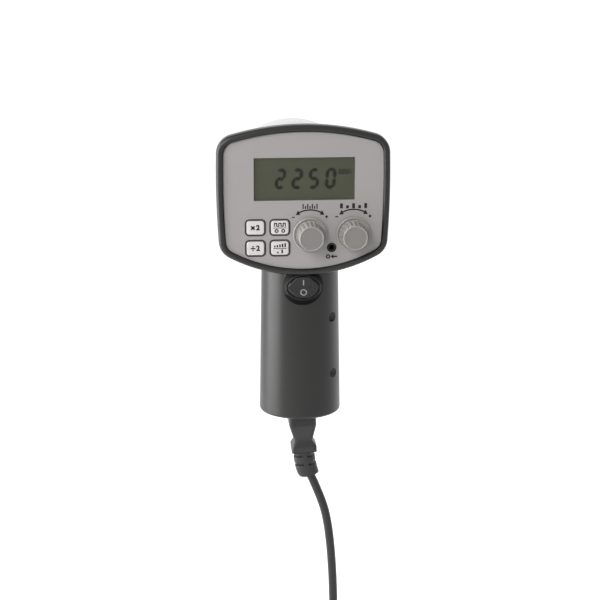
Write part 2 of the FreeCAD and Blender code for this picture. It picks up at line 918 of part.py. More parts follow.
def key_places():
    """Return the name and centre of each key."""
    right = s.key_left_x + s.key_pitch_x
    lower = s.key_top_z - s.key_pitch_z
    return {
        "key_double": (s.key_left_x, s.head_above_grip + s.key_top_z),
        "key_trigger": (right, s.head_above_grip + s.key_top_z),
        "key_halve": (s.key_left_x, s.head_above_grip + lower),
        "key_range": (right, s.head_above_grip + lower),
    }


def post_places():
    """Return the centres of the four posts that carry the boards."""
    middle = s.head_above_grip
    return (
        (-s.post_side_x, middle + s.post_side_z), (s.post_side_x, middle + s.post_side_z),
        (ZERO, middle + s.post_top_z), (s.post_bottom_x, middle + s.post_bottom_z),
    )


def make_front_panel():
    """Model the panel plate with its openings and the posts behind it."""
    body = new_body("front_panel")
    rim = (s.rim_half_width, s.rim_top, s.rim_bottom, s.rim_corner)
    plate = rim_outline(body, panel_face, *rim, inset=s.rim_lip + s.panel_clearance)
    pad(body, plate, s.panel_thickness)
    window_z = s.head_above_grip + s.window_centre_z
    control_z = s.head_above_grip + s.control_z
    shaft_hole = s.shaft_radius + s.panel_hole_clearance
    openings = [
        Outline(body, "XZ", panel_face).box(s.window_centre_x, window_z, s.window_width, s.window_height),
        Outline(body, "XZ", panel_face).circle(s.fine_x, control_z, shaft_hole),
        Outline(body, "XZ", panel_face).circle(s.coarse_x, control_z, shaft_hole),
        Outline(body, "XZ", panel_face).circle(s.jack_x, s.head_above_grip + s.jack_z, s.jack_hole_radius),
    ]
    for x, z in key_places().values():
        openings.append(Outline(body, "XZ", panel_face).round_box(
            x, z, s.key_width, s.key_height, s.key_corner))
    for opening in openings:
        pocket(body, opening, s.panel_thickness)
    for x, z in post_places():
        pad(body, Outline(body, "XZ", panel_back).circle(x, z, s.post_radius), s.display_depth)
        hole = Outline(body, "XZ", board_back_face).circle(x, z, s.stud_radius + s.running_clearance)
        pocket(body, hole, s.stud_length, forward=False)


def make_display():
    """Model the clear window and the display module behind it."""
    window = new_body("display_window", s.window_centre_x, panel_face + s.window_recess,
                      s.head_above_grip + s.window_centre_z)
    width = s.window_width - s.window_clearance * 2
    height = s.window_height - s.window_clearance * 2
    pad(window, Outline(window, "XZ").box(ZERO, ZERO, width, height), s.window_thickness)
    module = new_body("display_module", s.window_centre_x, ZERO, s.head_above_grip + s.window_centre_z)
    glass_face = panel_face + s.window_recess + s.window_thickness
    pad(module, Outline(module, "XZ", glass_face).box(ZERO, ZERO, width, height), panel_back - glass_face)
    frame = Outline(module, "XZ", panel_back).round_box(
        ZERO, ZERO, s.window_width + s.display_border * 2, s.window_height + s.display_border * 2,
        s.component_edge)
    pad(module, frame, s.display_depth)


def make_keys():
    """Model the keys, each with a flange behind the panel and a stem into its switch."""
    switch_face = board_back_face - s.key_switch_height
    switches = []
    for label, (x, z) in key_places().items():
        body = new_body(label, x, panel_face, z)
        cap_width = s.key_width - s.key_gap * 2
        cap_height = s.key_height - s.key_gap * 2
        flange_start = s.panel_thickness + s.key_flange_clearance
        cap = Outline(body, "XZ", -s.key_proud).round_box(
            ZERO, ZERO, cap_width, cap_height, s.key_corner - s.key_gap)
        pad(body, cap, s.key_proud + flange_start)
        soften(body, s.key_edge, lambda edge: flat_at(edge, "Y", -float(s.key_proud)), "Chamfer")
        flange = Outline(body, "XZ", flange_start).round_box(
            ZERO, ZERO, s.key_width + s.key_flange, s.key_height + s.key_flange, s.key_corner)
        pad(body, flange, s.key_flange_thickness)
        stem_start = flange_start + s.key_flange_thickness
        stem = Outline(body, "XZ", stem_start).circle(ZERO, ZERO, s.key_stem_radius)
        pad(body, stem, switch_face - panel_face - stem_start + s.key_stem_bite)
        housing = block(x - s.key_switch_width / 2, switch_face, z - s.key_switch_width / 2,
                        s.key_switch_width, s.key_switch_height, s.key_switch_width)
        bore = cylinder("+Y", x, switch_face, z, s.key_stem_radius + s.running_clearance,
                        s.key_switch_bore)
        switches.append(cut(housing, bore))
    node("key_switches", group(switches))


def make_knob(label, x):
    """Model a fluted knob on a thin skirt."""
    body = new_body(label, x, panel_face, s.head_above_grip + s.control_z)
    low = -s.knob_lift
    top = -s.knob_height
    socket = low - s.knob_socket_depth
    profile = Outline(body, "XY").path(
        (s.shaft_radius, low), (s.knob_skirt_radius, low),
        (s.knob_skirt_radius, low - s.knob_skirt_thickness),
        (s.knob_radius, low - s.knob_skirt_thickness),
        (s.knob_top_radius, top + s.knob_chamfer), (s.knob_face_radius, top),
        (ZERO, top), (ZERO, socket), (s.shaft_radius, socket),
    )
    revolve(body, profile)
    flute = Outline(body, "XZ", low - s.knob_skirt_thickness).circle(
        s.knob_radius + s.flute_radius - s.flute_sink, ZERO, s.flute_radius)
    groove = pocket(body, flute, s.knob_height, forward=False)
    pattern = body.newObject("PartDesign::PolarPattern", "flutes")
    pattern.Originals = [groove]
    pattern.Axis = (flute.sketch, ["N_Axis"])
    pattern.Angle = FULL_TURN
    pattern.setExpression("Occurrences", s.flute_count.text)
    body.Tip = pattern


def make_control(name, x):
    """Model one potentiometer: its turning shaft, its body with the bush, and its knob."""
    z = s.head_above_grip + s.control_z
    make_knob(f"{name}_knob", x)
    knob_socket = panel_face - s.knob_lift - s.knob_socket_depth
    body_back = control_board_back + s.control_body_depth
    shaft_end = body_back - s.shaft_end_gap
    node(f"{name}_shaft", cylinder("+Y", x, knob_socket, z, s.shaft_radius, shaft_end - knob_socket))
    bush_start = board_back_face - s.bush_reach
    housing = new_body(f"{name}_potentiometer", x, ZERO, z)
    bore = s.shaft_radius + s.running_clearance
    profile = Outline(housing, "XY").path(
        (bore, bush_start), (s.bush_radius, bush_start), (s.bush_radius, control_board_back),
        (s.control_body_radius, control_board_back), (s.control_body_radius, body_back),
        (ZERO, body_back), (ZERO, shaft_end + s.running_clearance),
        (bore, shaft_end + s.running_clearance),
    )
    revolve(housing, profile)


def hexagon(x, y, z, radius, length):
    """Make a hexagonal bar that runs forward from a point."""
    prism = doc.addObject("Part::Prism", "hexagon")
    prism.Polygon = 6
    prism.Placement = Placement(Vector(), TURNS["+Y"])
    place(prism, x, y, z)
    bind(prism, Circumradius=radius, Height=length)
    return prism


def make_control_nuts():
    """Model the hexagonal nuts that hold the potentiometers to the control board."""
    nuts = []
    for x in (s.fine_x, s.coarse_x):
        prism = hexagon(x, board_back_face - s.nut_thickness, s.head_above_grip + s.control_z,
                        s.nut_radius, s.nut_thickness)
        hole = cylinder("+Y", x, board_back_face - s.nut_thickness, s.head_above_grip + s.control_z,
                        s.bush_radius + s.running_clearance, s.nut_thickness)
        nuts.append(cut(prism, hole))
    node("potentiometer_nuts", group(nuts))


def make_trigger_socket():
    """Model the socket for the external trigger, behind its hole in the panel."""
    body = new_body("trigger_socket", s.jack_x, ZERO, s.head_above_grip + s.jack_z)
    nose = panel_face + s.jack_recess
    back = panel_back + s.jack_body_depth
    bore_end = nose + s.jack_bore_depth
    nose_radius = s.jack_hole_radius - s.panel_clearance / 2
    profile = Outline(body, "XY").path(
        (s.jack_bore_radius, nose), (nose_radius, nose), (nose_radius, panel_back),
        (s.jack_body_radius, panel_back), (s.jack_body_radius, back), (ZERO, back),
        (ZERO, bore_end), (s.jack_bore_radius, bore_end),
    )
    revolve(body, profile)


# Boards


def make_control_board():
    """Model the board behind the panel, drilled for the controls, the socket and the studs."""
    body = new_body("control_board")
    middle = s.head_above_grip
    plate = Outline(body, "XZ", board_back_face).round_box(
        ZERO, middle, s.control_board_width, s.control_board_height, s.board_corner)
    pad(body, plate, s.board_thickness)
    control_z = s.head_above_grip + s.control_z
    clearance = s.board_hole_clearance
    holes = [
        (s.fine_x, control_z, s.bush_radius + clearance),
        (s.coarse_x, control_z, s.bush_radius + clearance),
        (s.jack_x, s.head_above_grip + s.jack_z, s.jack_body_radius + clearance),
    ]
    holes += [(x, z, s.stud_radius + clearance) for x, z in post_places()]
    for x, z, radius in holes:
        pocket(body, Outline(body, "XZ", board_back_face).circle(x, z, radius), s.board_thickness)


def make_power_board():
    """Model the board that carries the flash supply, with cut corners."""
    body = new_body("power_board")
    middle = s.head_above_grip - s.power_board_drop
    half_w, half_h = s.power_board_width / 2, s.power_board_height / 2
    lean = s.power_board_corner
    plate = Outline(body, "XZ", power_board_back).path(
        (-half_w, middle - half_h + lean), (-half_w + lean, middle - half_h),
        (half_w - lean, middle - half_h), (half_w, middle - half_h + lean),
        (half_w, middle + half_h - lean), (half_w - lean, middle + half_h),
        (-half_w + lean, middle + half_h), (-half_w, middle + half_h - lean),
    )
    pad(body, plate, s.board_thickness)
    for x, z in post_places():
        hole = Outline(body, "XZ", power_board_back).circle(x, z, s.stud_radius + s.board_hole_clearance)
        pocket(body, hole, s.board_thickness)


def make_spacers_and_screws():
    """Model the studded spacers between the boards and the screws of the power board."""
    spacers = []
    screws = []
    for x, z in post_places():
        barrel = hexagon(x, control_board_back, z, s.spacer_radius, s.spacer_length)
        tapped = cylinder("-Y", x, power_board_back, z, s.stud_radius + s.running_clearance,
                          s.stud_length + s.running_clearance)
        stud = cylinder("-Y", x, control_board_back, z, s.stud_radius,
                        s.board_thickness + s.stud_length - s.running_clearance)
        spacers.append(fuse(cut(barrel, tapped), stud))
        head = cylinder("+Y", x, power_board_front, z, s.screw_head_radius, s.screw_head_thickness)
        shank = cylinder("-Y", x, power_board_front, z, s.stud_radius, s.board_thickness + s.stud_length)
        screws.append(fuse(head, shank))
    node("board_spacers", group(spacers))
    node("board_screws", group(screws))


def make_components():
    """Model the storage capacitors and the trigger transformer on the power board."""
    capacitors = []
    for side in (-1, 1):
        box = block(s.capacitor_x * side - s.capacitor_width / 2, power_board_front,
                    s.head_above_grip - s.capacitor_z - s.capacitor_height / 2,
                    s.capacitor_width, s.capacitor_depth, s.capacitor_height)
        capacitors.append(rounded(box, s.component_edge, lambda edge: runs_along(edge, Vector(0, 1, 0))))
    node("storage_capacitors", group(capacitors))
    coil_x = s.trigger_coil_x
    coil_z = s.head_above_grip + s.trigger_coil_z
    size = s.trigger_coil_size
    foot = block(coil_x - size / 2, power_board_front, coil_z - size / 2, size, s.board_thickness, size)
    winding_start = power_board_front + s.board_thickness
    winding = cylinder("+Y", coil_x, winding_start, coil_z, s.trigger_coil_radius, s.trigger_coil_length)
    cap = block(coil_x - size / 2, winding_start + s.trigger_coil_length, coil_z - size / 2,
                size, s.board_thickness, size)
    node("trigger_transformer", fuse(foot, winding, cap))


# Power switch


def make_power_switch():
    """Model the oval rocker switch at rest, switched on, with its upper side pressed in."""
    face = -s.switch_boss_face
    bezel_face = face - s.switch_bezel_thickness
    body = new_body("power_switch", ZERO, face, switch_z)
    pad(body, switch_oval(body, -s.switch_bezel_thickness, bezel_border, ZERO), s.switch_bezel_thickness)
    soften(body, s.switch_bezel_edge, lambda edge: flat_at(edge, "Y", -float(s.switch_bezel_thickness)))
    pad(body, switch_oval(body, ZERO, housing_border, ZERO), s.switch_body_depth)
    well_depth = s.rocker_depth + s.pivot_sink + s.rocker_swing_room
    pocket(body, switch_oval(body, -s.switch_bezel_thickness, well_border, ZERO), well_depth)
    pivot_y = s.pivot_sink - s.switch_bezel_thickness
    socket_reach = s.rocker_half_width + s.pivot_length + s.running_clearance
    socket = Outline(body, "YZ", -socket_reach).circle(
        pivot_y, ZERO, s.pivot_radius + s.running_clearance)
    pocket(body, socket, socket_reach * 2)

    rocker = new_body("power_rocker", ZERO, bezel_face + s.pivot_sink, switch_z)
    rocker.Placement = Placement(Vector(), Rotation(Vector(-1, 0, 0), 1.0))
    rocker.setExpression("Placement.Rotation.Angle", s.rocker_rest_angle.text)
    reach = s.rocker_reach
    dish = s.rocker_proud + s.pivot_sink
    drop = reach * Size(math.tan(math.radians(float(s.rocker_dish_angle))),
                        f"tan({s.rocker_dish_angle.text} * 1deg)")
    side_profile = Outline(rocker, "YZ", -s.rocker_half_width).path(
        (s.rocker_depth, -s.rocker_back_half), (s.rocker_depth, s.rocker_back_half),
        (-dish, reach), (-dish + drop, ZERO), (-dish, -reach),
    )
    pad(rocker, side_profile, s.rocker_half_width * 2)
    trim = switch_oval(rocker, -s.rocker_half_width, ZERO, ZERO)
    trim.circle(ZERO, ZERO, s.rocker_half_width * 2)
    pocket(rocker, trim, s.rocker_half_width * 2)
    pins = Outline(rocker, "YZ", -s.rocker_half_width - s.pivot_length).circle(ZERO, ZERO, s.pivot_radius)
    pad(rocker, pins, (s.rocker_half_width + s.pivot_length) * 2)

    back = face + s.switch_body_depth
    tabs = [
        block(s.tab_spacing * side / 2 - s.tab_thickness / 2, back, switch_z - s.tab_width / 2,
              s.tab_thickness, s.tab_length, s.tab_width)
        for side in (-1, 1)
    ]
    node("switch_tabs", group(tabs))


# Lamp


def make_reflector():
    """Model the parabolic reflector with its neck and flange."""
    body = new_body("lamp_reflector", ZERO, ZERO, lamp_z)
    focus = s.reflector_focus
    thick = s.reflector_thickness
    neck = s.reflector_neck_radius
    mouth = s.barrel_radius - s.wall - s.seat_ring_width - s.reflector_clearance - thick
    depth_neck = neck * neck / (focus * 4)
    depth_mouth = mouth * mouth / (focus * 4)
    apex = s.reflector_seat - depth_mouth
    half = mouth * s.reflector_middle_share
    depth_half = half * half / (focus * 4)
    flange_radius = s.barrel_radius - s.wall - s.reflector_clearance
    flange_front = s.reflector_seat + s.reflector_flange
    base_front = apex
    bend = arc_through((neck, apex + depth_neck), (half, apex + depth_half), (mouth, s.reflector_seat))
    outline = Outline(body, "XY").path(
        (neck, base_front), (neck, apex + depth_neck), Bend(bend, left=True),
        (mouth, s.reflector_seat), (mouth, flange_front),
        (flange_radius, flange_front), (flange_radius, s.reflector_seat),
        (mouth + thick, s.reflector_seat), Bend(bend + thick, left=False),
        (neck + thick, apex + depth_neck - thick / 2), (neck + thick, base_front),
    )
    revolve(body, outline)
    return apex


def arc_through(first, middle, last):
    """Return the radius of the circle through three points."""
    ax, ay = middle[0] - first[0], middle[1] - first[1]
    bx, by = last[0] - first[0], last[1] - first[1]
    cx, cy = last[0] - middle[0], last[1] - middle[1]
    product = root(ax * ax + ay * ay) * root(bx * bx + by * by) * root(cx * cx + cy * cy)
    return product / ((ax * by - ay * bx) * 2)


def make_lamp(apex):
    """Model the lamp base, the flash tube and its electrode ends."""
    base = new_body("lamp_base", ZERO, apex, lamp_z)
    nose_radius = s.reflector_neck_radius - s.reflector_clearance
    profile = Outline(base, "XY").path(
        (ZERO, -s.lamp_base_thickness), (s.lamp_base_radius, -s.lamp_base_thickness),
        (s.lamp_base_radius, ZERO), (nose_radius, ZERO), (nose_radius, s.lamp_base_nose),
        (ZERO, s.lamp_base_nose),
    )
    revolve(base, profile)
    half = float(s.tube_leg_spacing) / 2
    start = float(apex + s.lamp_base_nose + s.electrode_length)
    end = start + float(s.tube_leg_length)
    height = float(lamp_z)
    legs = [Vector(-half, start, height), Vector(-half, end, height), Vector(0, end + half, height),
            Vector(half, end, height), Vector(half, start, height)]
    wire = Part.Wire([
        Part.LineSegment(legs[0], legs[1]).toShape(), Part.Arc(*legs[1:4]).toShape(),
        Part.LineSegment(legs[3], legs[4]).toShape(),
    ])
    tube = doc.addObject("Part::Feature", "flash_tube")
    tube.Shape = sweep(wire, float(s.tube_radius))
    node("flash_tube", tube)
    ends = [
        cylinder("+Y", s.tube_leg_spacing * side / 2, apex + s.lamp_base_nose, lamp_z,
                 s.electrode_radius, s.electrode_length)
        for side in (-1, 1)
    ]
    node("lamp_electrodes", group(ends))


def make_lamp_cover():
    """Model the gasket and the clear cover with its flared hood."""
    gasket_start = s.reflector_seat + s.reflector_flange
    outer = s.barrel_radius - s.wall - s.reflector_clearance
    gasket = new_body("lamp_gasket", ZERO, ZERO, lamp_z)
    revolve(gasket, Outline(gasket, "XY").path(
        (outer - s.gasket_width, gasket_start), (outer, gasket_start),
        (outer, s.barrel_end), (outer - s.gasket_width, s.barrel_end),
    ))
    cover = new_body("lamp_cover", ZERO, ZERO, lamp_z)
    thick = s.cover_thickness
    inner = s.barrel_radius + s.cover_clearance
    plate_front = s.barrel_end + thick
    hood_front = s.barrel_end + s.cover_hood
    revolve(cover, Outline(cover, "XY").path(
        (ZERO, s.barrel_end), (inner, s.barrel_end), (inner, s.barrel_end - s.cover_skirt),
        (inner + thick, s.barrel_end - s.cover_skirt), (inner + thick, s.barrel_end),
        (s.cover_hood_radius, hood_front), (s.cover_hood_radius - thick, hood_front),
        (inner - thick, plate_front), (ZERO, plate_front),
    ))


# Mains transformer


def make_transformer():
    """Model the transformer that stands in the grip between two ledges."""
    core = centred_block(ZERO, s.transformer_y, s.transformer_z,
                         s.transformer_width, s.transformer_depth, s.transformer_height)
    winding_height = s.transformer_height - s.winding_inset * 2
    winding = centred_block(ZERO, s.transformer_y, s.transformer_z + s.winding_inset,
                            s.transformer_width - s.winding_swell * 2,
                            s.transformer_depth + s.winding_swell * 2, winding_height)
    soft = rounded(winding, s.component_edge, lambda edge: runs_along(edge, Vector(0, 0, 1)))
    node("mains_transformer", fuse(core, soft))


# Inlet, connector and strain relief


def make_inlet():
    """Model the appliance inlet in the foot of the grip and its three pins."""
    low = -s.grip_bottom
    shell = centred_block(ZERO, ZERO, low, s.inlet_width, s.inlet_depth, s.inlet_height)
    flange = centred_block(ZERO, ZERO, low + s.wall, s.inlet_width + s.inlet_flange * 2,
                           s.inlet_depth + s.inlet_flange * 2, s.inlet_flange)
    hollow = centred_block(ZERO, ZERO, low, s.inlet_width - s.inlet_wall * 2,
                           s.inlet_depth - s.inlet_wall * 2, s.inlet_height - s.inlet_wall)
    node("inlet_housing", cut(fuse(shell, flange), hollow))
    roof = low + s.inlet_height - s.inlet_wall
    pins = [
        centred_block(x, y, roof - s.pin_length, s.pin_width, s.pin_depth, s.pin_length)
        for x, y in pin_places()
    ]
    node("inlet_pins", group(pins))


def pin_places():
    """Return the places of the three pins in the inlet."""
    return ((s.pin_offset / 2, -s.pin_spacing), (s.pin_offset / 2, s.pin_spacing), (-s.pin_offset / 2, ZERO))


def lean_rotation():
    """Return the turn that leans the connector to the right."""
    return Rotation(Vector(0, 1, 0), -float(s.connector_lean))


def make_connector():
    """Model the moulded appliance connector, which leans a little in its inlet."""
    body = new_body("connector_body", s.connector_shift, ZERO, -s.grip_bottom - s.connector_gap)
    body.Placement = Placement(Vector(), Rotation(Vector(0, -1, 0), 1.0))
    body.setExpression("Placement.Rotation.Angle", s.connector_lean.text)
    corner = s.connector_corner
    insert = Outline(body, "XY").round_box(ZERO, ZERO, s.plug_in_width, s.plug_in_depth, corner)
    pad(body, insert, s.plug_in_length)
    shoulder = Outline(body, "XY").round_box(ZERO, ZERO, s.connector_width, s.connector_depth, corner)
    pad(body, shoulder, s.connector_block, forward=False)
    neck_level = -s.connector_block - s.connector_taper
    loft(body, [
        Outline(body, "XY", -s.connector_block).round_box(
            ZERO, ZERO, s.connector_width, s.connector_depth, corner),
        Outline(body, "XY", neck_level).round_box(ZERO, ZERO, s.neck_width, s.neck_depth, corner),
    ])
    loft(body, [
        Outline(body, "XY", neck_level).round_box(ZERO, ZERO, s.neck_width, s.neck_depth, corner),
        Outline(body, "XY", neck_level - s.ear_rise).round_box(ZERO, ZERO, s.ear_width, s.ear_depth, corner),
    ])
    ear = Outline(body, "XY", neck_level - s.ear_rise).round_box(ZERO, ZERO, s.ear_width, s.ear_depth, corner)
    pad(body, ear, s.ear_length, forward=False)
    for x, y in pin_places():
        slot = Outline(body, "XY", s.plug_in_length).box(
            x, y, s.pin_width + s.pin_slot_clearance * 2, s.pin_depth + s.pin_slot_clearance)
        pocket(body, slot, s.plug_in_length, forward=False)


def connector_end():
    """Return where the connector's lower end is and which way it points."""
    length = float(s.connector_block + s.connector_taper + s.ear_rise + s.ear_length)
    way = lean_rotation().multVec(Vector(0, 0, -1))
    start = Vector(float(s.connector_shift), 0, -float(s.grip_bottom + s.connector_gap))
    return start + way * length, way


def relief_path():
    """Return points, directions and radii down the bent strain relief."""
    start, way = connector_end()
    lean = float(s.connector_lean)
    turn = float(s.relief_end_angle) - lean
    steps = RELIEF_STEPS
    stations = []
    point = start
    for step in range(steps + 1):
        share = step / steps
        angle = math.radians(lean + turn * share)
        way = Vector(math.sin(angle), 0, -math.cos(angle))
        radius = float(s.relief_radius) + share * float(s.relief_end_radius - s.relief_radius)
        stations.append((point, way, radius))
        next_angle = math.radians(lean + turn * (share + 0.5 / steps))
        stride = float(s.relief_length) / steps
        point = point + Vector(math.sin(next_angle), 0, -math.cos(next_angle)) * stride
    return stations


def make_relief():
    """Model the slotted strain relief: rings on a thin web, bent to the right."""
    stations = relief_path()
    wires = [Part.Wire(Part.makeCircle(radius, point, way)) for point, way, radius in stations]
    solid = Part.makeLoft(wires, True, False)
    web = float(s.relief_slot_web)
    for index in RELIEF_SLOTS:
        for side in (-1, 1):
            point, way, radius = stations[index]
            across = Vector(0, 1, 0).cross(way)
            centre = point + across * side * (web + radius)
            slot = Part.makeBox(radius * 2, radius * 4, float(s.relief_slot_width))
            slot.translate(Vector(-radius, -radius * 2, -float(s.relief_slot_width) / 2))
            slot.Placement = Placement(centre, Rotation(Vector(0, 0, 1), way)).multiply(slot.Placement)
            solid = solid.cut(slot)
    relief = doc.addObject("Part::Feature", "connector_relief")
    relief.Shape = solid
    node("connector_relief", relief)
    return stations[-1][:2]


# Lead


def corner_arc(before, corner, after, setback):
    """Return the arc that rounds a corner, and its radius."""
    first = corner + (before - corner).normalize() * setback
    last = corner + (after - corner).normalize() * setback
    inward = ((first + last) / 2 - corner).normalize()
    half = (first - corner).getAngle(inward)
    radius = setback * math.tan(half)
    middle = corner + inward * (setback / math.cos(half) - radius)
    return Part.Arc(first, middle, last).toShape(), radius


def rounded_route(points):
    """Join points by straight runs and arcs, each as large as its two runs allow."""
    edges = []
    radii = []
    reach = points[0]
    for before, corner, after in zip(points, points[1:], points[2:]):
        setback = CORNER_SHARE * min((corner - before).Length, (after - corner).Length)
        arc, radius = corner_arc(before, corner, after, setback)
        edges.append(Part.LineSegment(reach, arc.valueAt(arc.FirstParameter)).toShape())
        edges.append(arc)
        reach = arc.valueAt(arc.LastParameter)
        radii.append(round(radius, 1))
    edges.append(Part.LineSegment(reach, points[-1]).toShape())
    return Part.Wire(edges), radii


def sweep(wire, radius):
    """Sweep a round section along a path."""
    first = wire.OrderedEdges[0]
    start = wire.OrderedVertexes[0].Point
    way = first.tangentAt(first.FirstParameter)
    ring = Part.Wire(Part.makeCircle(radius, start, way))
    return wire.makePipeShell([ring], True, False)


def coil_point(angle):
    """Return a point of the coil's centreline and its direction at an angle from the start."""
    spacing = float(s.coil_spacing)
    outer = float(s.coil_outer_radius)
    layer = float(s.coil_turns) * 2 * math.pi
    slope = spacing / (2 * math.pi)
    inner = outer - slope * layer
    if angle <= layer:
        radius, radius_rate = outer - slope * angle, -slope
        rise, rise_rate = 0.0, 0.0
    elif angle >= layer + math.pi:
        radius, radius_rate = inner + slope * (angle - layer - math.pi), slope
        rise, rise_rate = spacing, 0.0
    else:
        turned = angle - layer
        radius = inner - slope * turned + slope * turned**2 / math.pi
        radius_rate = -slope + 2 * slope * turned / math.pi
        rise = spacing * (1 - math.cos(turned)) / 2
        rise_rate = spacing * math.sin(turned) / 2
    point = Vector(
        float(s.coil_centre_x) + radius * math.cos(angle),
        float(s.coil_centre_y) + radius * math.sin(angle),
        coil_level() + rise,
    )
    way = Vector(
        radius_rate * math.cos(angle) - radius * math.sin(angle),
        radius_rate * math.sin(angle) + radius * math.cos(angle),
        rise_rate,
    ).normalize()
    return point, way


def coil_level():
    """Return the height of the coil's lower layer, which lies on the tie."""
    return float(s.ground_z + s.tie_thickness + s.tie_clearance + s.cord_radius)


def biarc(start, start_way, end, end_way):
    """Return two arcs that leave a point in one direction and reach another in a second one."""
    span = end - start
    both = start_way + end_way
    a = 2 * (1 - start_way.dot(end_way))
    b = 2 * span.dot(both)
    reach = (-b + math.sqrt(b * b + 4 * a * span.dot(span))) / (2 * a)
    first_corner = start + start_way * reach
    last_corner = end - end_way * reach
    middle = (first_corner + last_corner) / 2
    return [
        corner_arc(start, first_corner, middle, reach)[0],
        corner_arc(middle, last_corner, end, reach)[0],
    ]


def make_coil():
    """Model the coil of spare lead: two layers of turns, spiralling in and out again."""
    quarter = math.pi / 2
    quarters = int(float(s.coil_turns)) * 8 + 2
    stations = [coil_point(step * quarter) for step in range(quarters + 1)]
    lead = float(s.cord_radius) * 2
    start, start_way = stations[0]
    end, end_way = stations[-1]
    edges = [Part.LineSegment(start - start_way * lead, start).toShape()]
    for (p, p_way), (q, q_way) in zip(stations, stations[1:]):
        edges += biarc(p, p_way, q, q_way)
    edges.append(Part.LineSegment(end, end + end_way * lead).toShape())
    wire = Part.Wire(edges)
    coil = doc.addObject("Part::Feature", "cord_coil")
    coil.Shape = sweep(wire, float(s.cord_radius))
    node("cord_coil", coil)
    report_coil_gap(quarters * quarter)
    report_tube("cord_coil", coil.Shape, wire)
    return (start - start_way * lead, start_way), (end + end_way * lead, end_way)


def report_coil_gap(total):
    """Print the least gap between turns of the coil, measured on points."""
    count = 1200
    step = total / count
    points = [coil_point(step * index)[0] for index in range(count + 1)]
    apart = int(math.pi / step)
    least = min(
        (points[i] - points[j]).Length
        for i in range(0, count + 1, 3) for j in range(i + apart, count + 1)
    )
    print("coil least gap", round(least - 2 * float(s.cord_radius), 2))


def report_tube(label, solid, wire):
    """Print a tube's length and how its volume compares with its section times its length."""
    ideal = math.pi * float(s.cord_radius)**2 * wire.Length
    print(label, "length", round(wire.Length, 1), "volume ratio", round(solid.Volume / ideal, 4))


def make_tube(label, points):
    """Model a stretch of lead through points."""
    wire, radii = rounded_route(points)
    tube = doc.addObject("Part::Feature", label)
    tube.Shape = sweep(wire, float(s.cord_radius))
    node(label, tube)
    print(label, "radii", radii)
    report_tube(label, tube.Shape, wire)


def make_lead(relief_end):
    """Model the lead from the strain relief to the coil, the coil, and the tail to the plug."""
    coil_start, coil_end = make_coil()
    exit_point, exit_way = relief_end
    run = [exit_point, exit_point + exit_way * FIRST_RUN]
    run += [Vector(*point) for point in CORD_ROUTE]
    start, start_way = coil_start
    run += [start - start_way * LAST_RUN, start]
    make_tube("cord_run", run)
    point, way = coil_end
    tail = [point]
    for length, turn in TAIL_STEPS:
        way = Rotation(Vector(0, 0, 1), turn).multVec(way)
        point = point + way * length
        tail.append(point)
    make_tube("cord_tail", tail)
    return point, way


def make_tie():
    """Model the band round the coil's turns, a part of a turn from where the coil begins."""
    gap = float(s.tie_clearance)
    thick = float(s.tie_thickness)
    width = float(s.tie_width)
    radius = float(s.cord_radius)
    spacing = float(s.coil_spacing)
    outer_turn = float(s.coil_outer_radius) - spacing * TIE_TURN
    inner_turn = outer_turn - spacing * (float(s.coil_turns) - 1)
    outer = outer_turn + radius + gap
    inner = math.sqrt((inner_turn - radius)**2 - (width / 2)**2) - gap * 2
    low = coil_level() - radius - gap
    high = coil_level() + float(s.coil_spacing) + radius + gap
    band = Part.makeBox(outer - inner + 2 * thick, width, high - low + 2 * thick,
                        Vector(inner - thick, -width / 2, low - thick))
    band = band.makeFillet(thick, [edge for edge in band.Edges if runs_along(edge, Vector(0, 1, 0))])
    hollow = Part.makeBox(outer - inner, width, high - low, Vector(inner, -width / 2, low))
    tie = doc.addObject("Part::Feature", "cord_tie")
    tie.Shape = band.cut(hollow)
    centre = Vector(float(s.coil_centre_x), float(s.coil_centre_y), 0)
    tie.Placement = Placement(centre, Rotation(Vector(0, 0, 1), FULL_TURN * TIE_TURN))
    node("cord_tie", tie)


def make_plug(point, way):
    """Model the mains plug that lies beside the coil, with its relief, blades and earth pin."""
    turn = Rotation(Vector(0, 0, 1), way)
    relief = Part.makeLoft([
        Part.Wire(Part.makeCircle(float(s.cord_radius) + float(s.component_edge), point, way)),
        Part.Wire(Part.makeCircle(float(s.plug_relief_radius),
                                  point + way * float(s.plug_relief_length), way)),
    ], True)
    strain = doc.addObject("Part::Feature", "plug_relief")
    strain.Shape = relief
    node("plug_relief", strain)
    base = point + way * float(s.plug_relief_length)
    half_height = point.z - float(s.ground_z)
    half_width = float(s.plug_width) / 2
    length = float(s.plug_length)
    body = Part.makeBox(half_width * 2, length, half_height * 2, Vector(-half_width, 0, -half_height))
    body = body.makeFillet(float(s.plug_corner), [e for e in body.Edges if runs_along(e, Vector(0, 1, 0))])
    heading = Rotation(Vector(0, 1, 0), way)
    plug = doc.addObject("Part::Feature", "plug_body")
    plug.Shape = body
    plug.Placement = Placement(base, heading)
    node("plug_body", plug)
    face = base + way * length
    blade = (float(s.blade_thickness), float(s.blade_length), float(s.blade_width))
    spacing = float(s.blade_spacing) / 2
    raised = float(s.blade_rise)
    solids = []
    for side in (-1, 1):
        corner = Vector(side * spacing - blade[0] / 2, 0, raised - blade[2] / 2)
        solids.append(Part.makeBox(*blade, corner))
    earth = Part.makeCylinder(float(s.earth_radius), float(s.earth_length),
                              Vector(0, 0, raised - float(s.earth_offset)), Vector(0, 1, 0))
    solids.append(earth)
    blades = doc.addObject("Part::Feature", "plug_blades")
    blades.Shape = Part.makeCompound(solids)
    blades.Placement = Placement(face, heading)
    node("plug_blades", blades)


